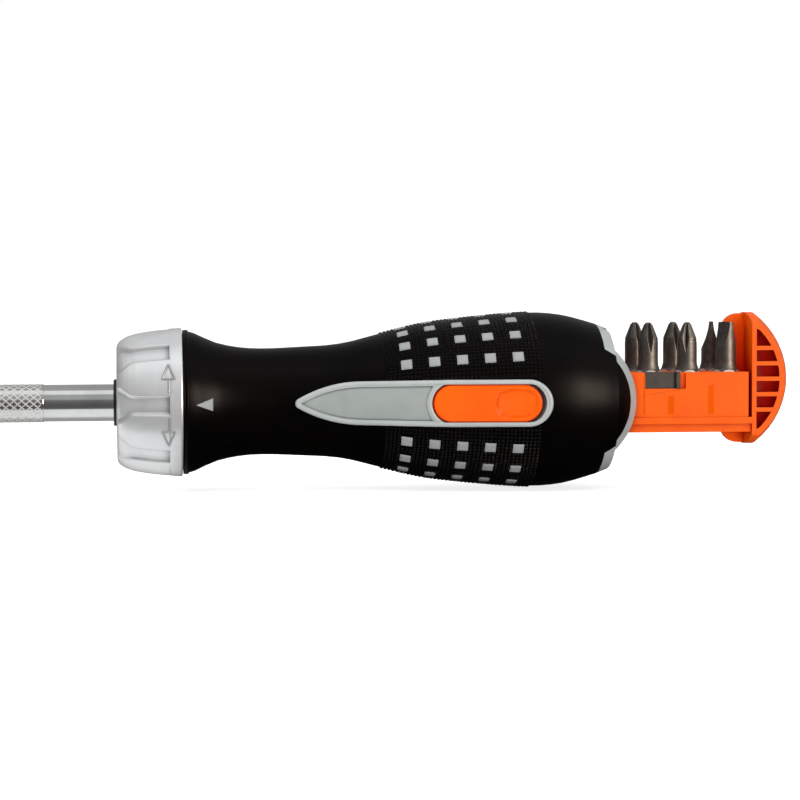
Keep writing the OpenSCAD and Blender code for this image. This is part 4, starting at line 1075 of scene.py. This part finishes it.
class SCREWDRIVER_OT_tray(Operator):
    """Adds the ledge on the tray's sides and the marks of the ribs that show through them"""

    bl_idname = "screwdriver.tray"
    bl_label = "Tray face"

    # Left, right, low and high edge of each mark and of the ledge, with the magazine out
    MARKS = ((228.7, 230.3, -3.9, 0.9), (239.4, 240.9, -3.9, 3.7), (222.2, 222.6, -3.9, 6.6))
    LEDGE = (207.0, 249.6, -6.5, -4.75)

    def pads(self, name, edges, proud, surface):
        """Flat pads with eased edges on both sides of the tray."""
        rings = ((0.0, -0.1), (0.0, proud * 0.5), (min(0.15, proud), proud))

        def ring(x0, x1, z0, z1, inset, y):
            left, right, low, high = x0 + inset, x1 - inset, z0 + inset, z1 - inset
            return [(left, y, low), (right, y, low), (right, y, high), (left, y, high)]

        pads = [
            stack([ring(*edge, inset, side * (TRAY_HALF + out)) for inset, out in rings])
            for edge in edges for side in (-1, 1)
        ]
        piece(name, *joined(*pads), surface, "magazine", "orange_plastic", smooth=30)

    def execute(self, context):
        self.pads("tray_marks", self.MARKS, 0.03, "shaded_orange")
        self.pads("tray_ledge", [self.LEDGE], 0.2, "orange_abs")
        return {"FINISHED"}


class SCREWDRIVER_OT_lip(Operator):
    """Rounds the rubber lip behind the direction collar"""

    bl_idname = "screwdriver.lip"
    bl_label = "Grip lip"

    def execute(self, context):
        edge = hit(BODY, 100.5, CLEAR_LINE)
        profile = [
            (99.82, edge - 1.2), (99.82, edge - 0.2), (99.95, edge + 0.06), (100.2, edge + 0.2),
            (100.6, edge + 0.24), (101.0, edge + 0.16), (101.25, edge - 0.04), (101.4, edge - 1.2)
        ]
        piece("grip_lip", *turned(profile, 180), "soft_rubber", "handle", "soft_skin", smooth=70)
        return {"FINISHED"}


# Finish of each CAD node that stays, and the radius that its edges are eased to, in millimetres
CARRIED = {
    "blade_shaft": ("plated_bar", 0.12), "socket_magnet": ("nickel_plate", 0.15),
    "nose_bush": ("filled_nylon", 0.2), "collar_snap_ring": ("spring_wire", 0.05),
    "ratchet_housing": ("die_casting", 0.1), "housing_cover": ("die_casting", 0.12),
    "cover_screws": ("ground_steel", 0.08), "ratchet_gear": ("ground_steel", 0.06),
    "pawl_forward": ("ground_steel", 0.08), "pawl_reverse": ("ground_steel", 0.08),
    "pawl_pins": ("ground_steel", 0.1), "detent_ball": ("ground_steel", 0),
    "thrust_washer": ("sintered_bronze", 0.1), "shaft_clip": ("spring_wire", 0.08),
    "housing_pin": ("ground_steel", 0.15), "handle_core": ("satin_abs", 0),
    "grip_overmold": ("soft_rubber", 0), "button_pin": ("ground_steel", 0.12),
    "magazine_tray": ("orange_abs", 0.15), "end_cap": ("orange_abs", 0.18),
    "latch_spring": ("rolled_strip", 0.06), "spring_guide": ("ground_steel", 0.15)
}


def welded_group():
    """A node group that welds a solid's seams and shades it smooth up to an angle."""
    tree = bpy.data.node_groups.new("welded_seams", "GeometryNodeTree")
    for in_out in ("INPUT", "OUTPUT"):
        tree.interface.new_socket("Geometry", in_out=in_out, socket_type="NodeSocketGeometry")
    source = add_node(tree, "NodeGroupInput")
    weld = add_node(
        tree, "GeometryNodeMergeByDistance", {"Geometry": source.outputs[0]}, {"Distance": 2e-6})
    bare = add_node(
        tree, "GeometryNodeRemoveAttribute", {"Geometry": weld.outputs[0]}, {"Name": "custom_normal"})
    bend = add_node(tree, "GeometryNodeInputMeshEdgeAngle")
    soft = add_node(
        tree, "FunctionNodeCompare", {0: bend.outputs["Unsigned Angle"]}, {1: radians(31)},
        operation="LESS_THAN")
    edges = add_node(
        tree, "GeometryNodeSetShadeSmooth",
        {"Geometry": bare.outputs[0], "Shade Smooth": soft.outputs[0]}, domain="EDGE")
    faces = add_node(
        tree, "GeometryNodeSetShadeSmooth", {"Geometry": edges.outputs[0]}, {"Shade Smooth": True},
        domain="FACE")
    add_node(tree, "NodeGroupOutput", {0: faces.outputs[0]})
    return tree


def modified(thing, name, kind, **settings):
    """Adds a modifier and sets its properties."""
    made = thing.modifiers.new(name, kind)
    for key, value in settings.items():
        setattr(made, key, value)


class SCREWDRIVER_OT_carried(Operator):
    """Gives every solid that stays its finish, eases its edges and shades its curves"""

    bl_idname = "screwdriver.carried"
    bl_label = "Solid parts"

    def execute(self, context):
        group = welded_group()
        for name, (surface, edge) in CARRIED.items():
            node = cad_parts[name]
            node.data.materials.clear()
            node.data.materials.append(finish(surface))
            modified(node, "welded_seams", "NODES", node_group=group)
            if edge:
                modified(
                    node, "flat_faces", "DECIMATE", decimate_type="DISSOLVE",
                    angle_limit=radians(0.5), delimit={"SHARP"})
                modified(
                    node, "eased_edges", "BEVEL", width=edge * MM, segments=2, limit_method="ANGLE",
                    angle_limit=radians(38), miter_outer="MITER_ARC")
                modified(node, "flat_shading", "WEIGHTED_NORMAL", keep_sharp=True)
        return {"FINISHED"}


class SCREWDRIVER_OT_stage(Operator):
    """Sets the white floor, the soft studio lights and the camera"""

    bl_idname = "screwdriver.stage"
    bl_label = "Stage"

    def paper(self):
        """Matt white paper that glows for the camera, so it meets the white world with no seam. In the
        metal it shows a painted reflection: bright near the tool, grey behind it and dark in front,
        with a painted shadow where it lies under the grip."""
        made = bpy.data.materials.new("white_paper")
        tree = cleared(made)
        ray = add_node(tree, "LightPath").outputs
        speck = add_node(tree, "TexNoise", values={"Scale": PAPER_MOTTLE})
        tone = add_node(
            tree, "ValToRGB", {"Fac": speck.outputs["Fac"]},
            stops=((0.0, "#dededc"), (1.0, "#e4e4e3")))
        matt = add_node(tree, "BsdfDiffuse", {"Color": tone.outputs["Color"]}).outputs[0]
        glow = add_node(tree, "Emission", values={"Strength": PAPER_GLOW, "Color": WHITE})
        both = add_node(tree, "AddShader", {0: matt, 1: glow.outputs[0]}).outputs[0]
        lit = add_node(tree, "MixShader", {0: ray["Is Camera Ray"], 1: matt, 2: both})
        where = add_node(tree, "TexCoord")
        axes = add_node(tree, "SeparateXYZ", {"Vector": where.outputs["Object"]}).outputs
        span = add_node(
            tree, "MapRange", {"Value": axes["Y"]},
            {"From Min": -PAPER_REACH, "From Max": PAPER_REACH})
        # What glossy rays see of the paper is painted: a reflection, with a painted shadow under the
        # grip
        band = add_node(tree, "ValToRGB", {"Fac": span.outputs[0]}, stops=PAPER_IN_METAL)
        shade = add_node(tree, "ValToRGB", {"Fac": span.outputs[0]}, stops=GRIP_SHADOW_IN_METAL)
        low, high = GRIP_FROM
        grip = add_node(tree, "MapRange", {"Value": axes["X"]}, {"From Min": low, "From Max": high})
        under = add_node(
            tree, "Mix", {0: grip.outputs[0], 6: band.outputs[0], 7: shade.outputs[0]},
            data_type="RGBA")
        mirrored = add_node(tree, "Emission", {"Color": under.outputs[2]})
        metal = add_node(
            tree, "Math", {0: ray["Is Glossy Ray"], 1: ray["Is Transmission Ray"]},
            operation="MAXIMUM")
        pick = add_node(
            tree, "MixShader", {0: metal.outputs[0], 1: lit.outputs[0], 2: mirrored.outputs[0]})
        add_node(tree, "OutputMaterial", {"Surface": pick.outputs[0]})
        return made

    def room(self):
        """The studio, bright overhead and behind the tool and dim in front. The metal shows a soft box
        in front and above, a grey ceiling, white behind and a dim far left."""
        made = bpy.data.worlds.new("studio")
        tree = cleared(made)
        ray = add_node(tree, "LightPath").outputs
        way = add_node(tree, "TexCoord")
        axes = add_node(tree, "SeparateXYZ", {"Vector": way.outputs["Generated"]}).outputs
        front, behind, overhead = ROOM
        depth = add_node(
            tree, "MapRange", {"Value": axes["Y"]},
            {"From Min": -0.9, "From Max": 0.35, "To Min": front, "To Max": behind})
        lift = add_node(
            tree, "MapRange", {"Value": axes["Z"]},
            {"From Min": 0.2, "From Max": 1.0, "To Min": 0.0, "To Max": overhead})
        strength = add_node(tree, "Math", {0: depth.outputs[0], 1: lift.outputs[0]}, operation="ADD")
        fill = add_node(tree, "Background", {"Strength": strength.outputs[0]}, {"Color": WHITE})
        forward = add_node(tree, "Math", {0: axes["Y"]}, {1: -1.0}, operation="MULTIPLY")
        turn = add_node(tree, "Math", {0: axes["Z"], 1: forward.outputs[0]}, operation="ARCTAN2")
        share = add_node(
            tree, "MapRange", {"Value": turn.outputs[0]}, {"From Min": 0.0, "From Max": pi})
        sky = add_node(tree, "ValToRGB", {"Fac": share.outputs[0]}, stops=ROOM_IN_METAL)
        left = add_node(
            tree, "MapRange", {"Value": axes["X"]},
            {"From Min": -0.8, "From Max": -0.25, "To Min": FAR_LEFT, "To Max": 1.0})
        mirrored = add_node(
            tree, "Background", {"Color": sky.outputs[0], "Strength": left.outputs[0]})
        metal = add_node(
            tree, "Math", {0: ray["Is Glossy Ray"], 1: ray["Is Transmission Ray"]},
            operation="MAXIMUM")
        seen = add_node(
            tree, "MixShader", {0: metal.outputs[0], 1: fill.outputs[0], 2: mirrored.outputs[0]})
        white = add_node(tree, "Background", values={"Strength": 1.0, "Color": WHITE})
        pick = add_node(
            tree, "MixShader", {0: ray["Is Camera Ray"], 1: seen.outputs[0], 2: white.outputs[0]})
        add_node(tree, "OutputWorld", {"Surface": pick.outputs[0]})
        return made

    def lamp(self, name, place, wide, high, power, tint):
        """A soft rectangular lamp. Only the side lamp shows as a gloss, and it lights nothing else."""
        light = bpy.data.lights.new(name, "AREA")
        light.shape = "RECTANGLE"
        light.size, light.size_y, light.energy, light.color = wide, high, power, srgb(tint)
        made = bpy.data.objects.new(name, light)
        made.location = place
        made.rotation_euler = (Vector(LAMP_TARGET) - Vector(place)).to_track_quat("-Z", "Y").to_euler()
        made.visible_glossy = name == "side"
        made.visible_diffuse = name != "side"
        return made

    def camera(self):
        """The camera that sees the tool as the photo does."""
        camera = bpy.data.cameras.new("camera")
        camera.sensor_width = 36.0
        camera.lens, camera.shift_x = CAMERA_LENS, CAMERA_SHIFT
        camera.clip_start, camera.clip_end = 0.01, 60.0
        made = bpy.data.objects.new("camera", camera)
        aim, tilt = Vector(CAMERA_AIM), radians(CAMERA_TILT)
        made.location = aim + Vector((0, -cos(tilt), sin(tilt))) * CAMERA_REACH
        roll = Quaternion((0, 0, 1), radians(CAMERA_ROLL))
        made.rotation_euler = ((aim - made.location).to_track_quat("-Z", "Y") @ roll).to_euler()
        return made

    def execute(self, context):
        scene = context.scene
        scene.view_settings.view_transform = "Standard"
        mesh = bpy.data.meshes.new("floor")
        low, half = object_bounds()[0].z - PAPER_DROP * MM, PAPER_HALF
        corners = [(-half, -half, low), (half, -half, low), (half, half, low), (-half, half, low)]
        mesh.from_pydata(corners, [], [(0, 1, 2, 3)])
        mesh.materials.append(self.paper())
        floor = bpy.data.objects.new("floor", mesh)
        floor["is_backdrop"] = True
        scene.world = self.room()
        camera = self.camera()
        for made in (floor, *(self.lamp(*row) for row in LAMPS), camera):
            scene.collection.objects.link(made)
        scene.camera = camera
        return {"FINISHED"}


class SCREWDRIVER_PT_pieces(bpy.types.Panel):
    """Lists the pieces in the order in which they are made"""

    bl_idname = "SCREWDRIVER_PT_pieces"
    bl_label = "Screwdriver"
    bl_space_type = "VIEW_3D"
    bl_region_type = "UI"
    bl_category = "Screwdriver"

    def draw(self, context):
        for group in (context.scene.screwdriver_sizes, context.scene.screwdriver_colours):
            for prop in type(group).__annotations__:
                self.layout.prop(group, prop)
        for step in STEPS:
            self.layout.operator(step.bl_idname)


STEPS = (
    SCREWDRIVER_OT_carried, SCREWDRIVER_OT_knurl, SCREWDRIVER_OT_collar, SCREWDRIVER_OT_grain,
    SCREWDRIVER_OT_squares, SCREWDRIVER_OT_panel, SCREWDRIVER_OT_button, SCREWDRIVER_OT_springs,
    SCREWDRIVER_OT_bits, SCREWDRIVER_OT_tray, SCREWDRIVER_OT_lip, SCREWDRIVER_OT_stage
)
CLASSES = (ToolSizes, ToolColours, *STEPS, SCREWDRIVER_PT_pieces)


def register():
    for cls in CLASSES:
        bpy.utils.register_class(cls)
    bpy.types.Scene.screwdriver_sizes = bpy.props.PointerProperty(type=ToolSizes)
    bpy.types.Scene.screwdriver_colours = bpy.props.PointerProperty(type=ToolColours)


def unregister():
    del bpy.types.Scene.screwdriver_sizes, bpy.types.Scene.screwdriver_colours
    for cls in reversed(CLASSES):
        bpy.utils.unregister_class(cls)


def main():
    register()
    for step in STEPS:
        group, word = step.bl_idname.split(".")
        getattr(getattr(bpy.ops, group), word)()


if __name__ == "__main__":
    main()
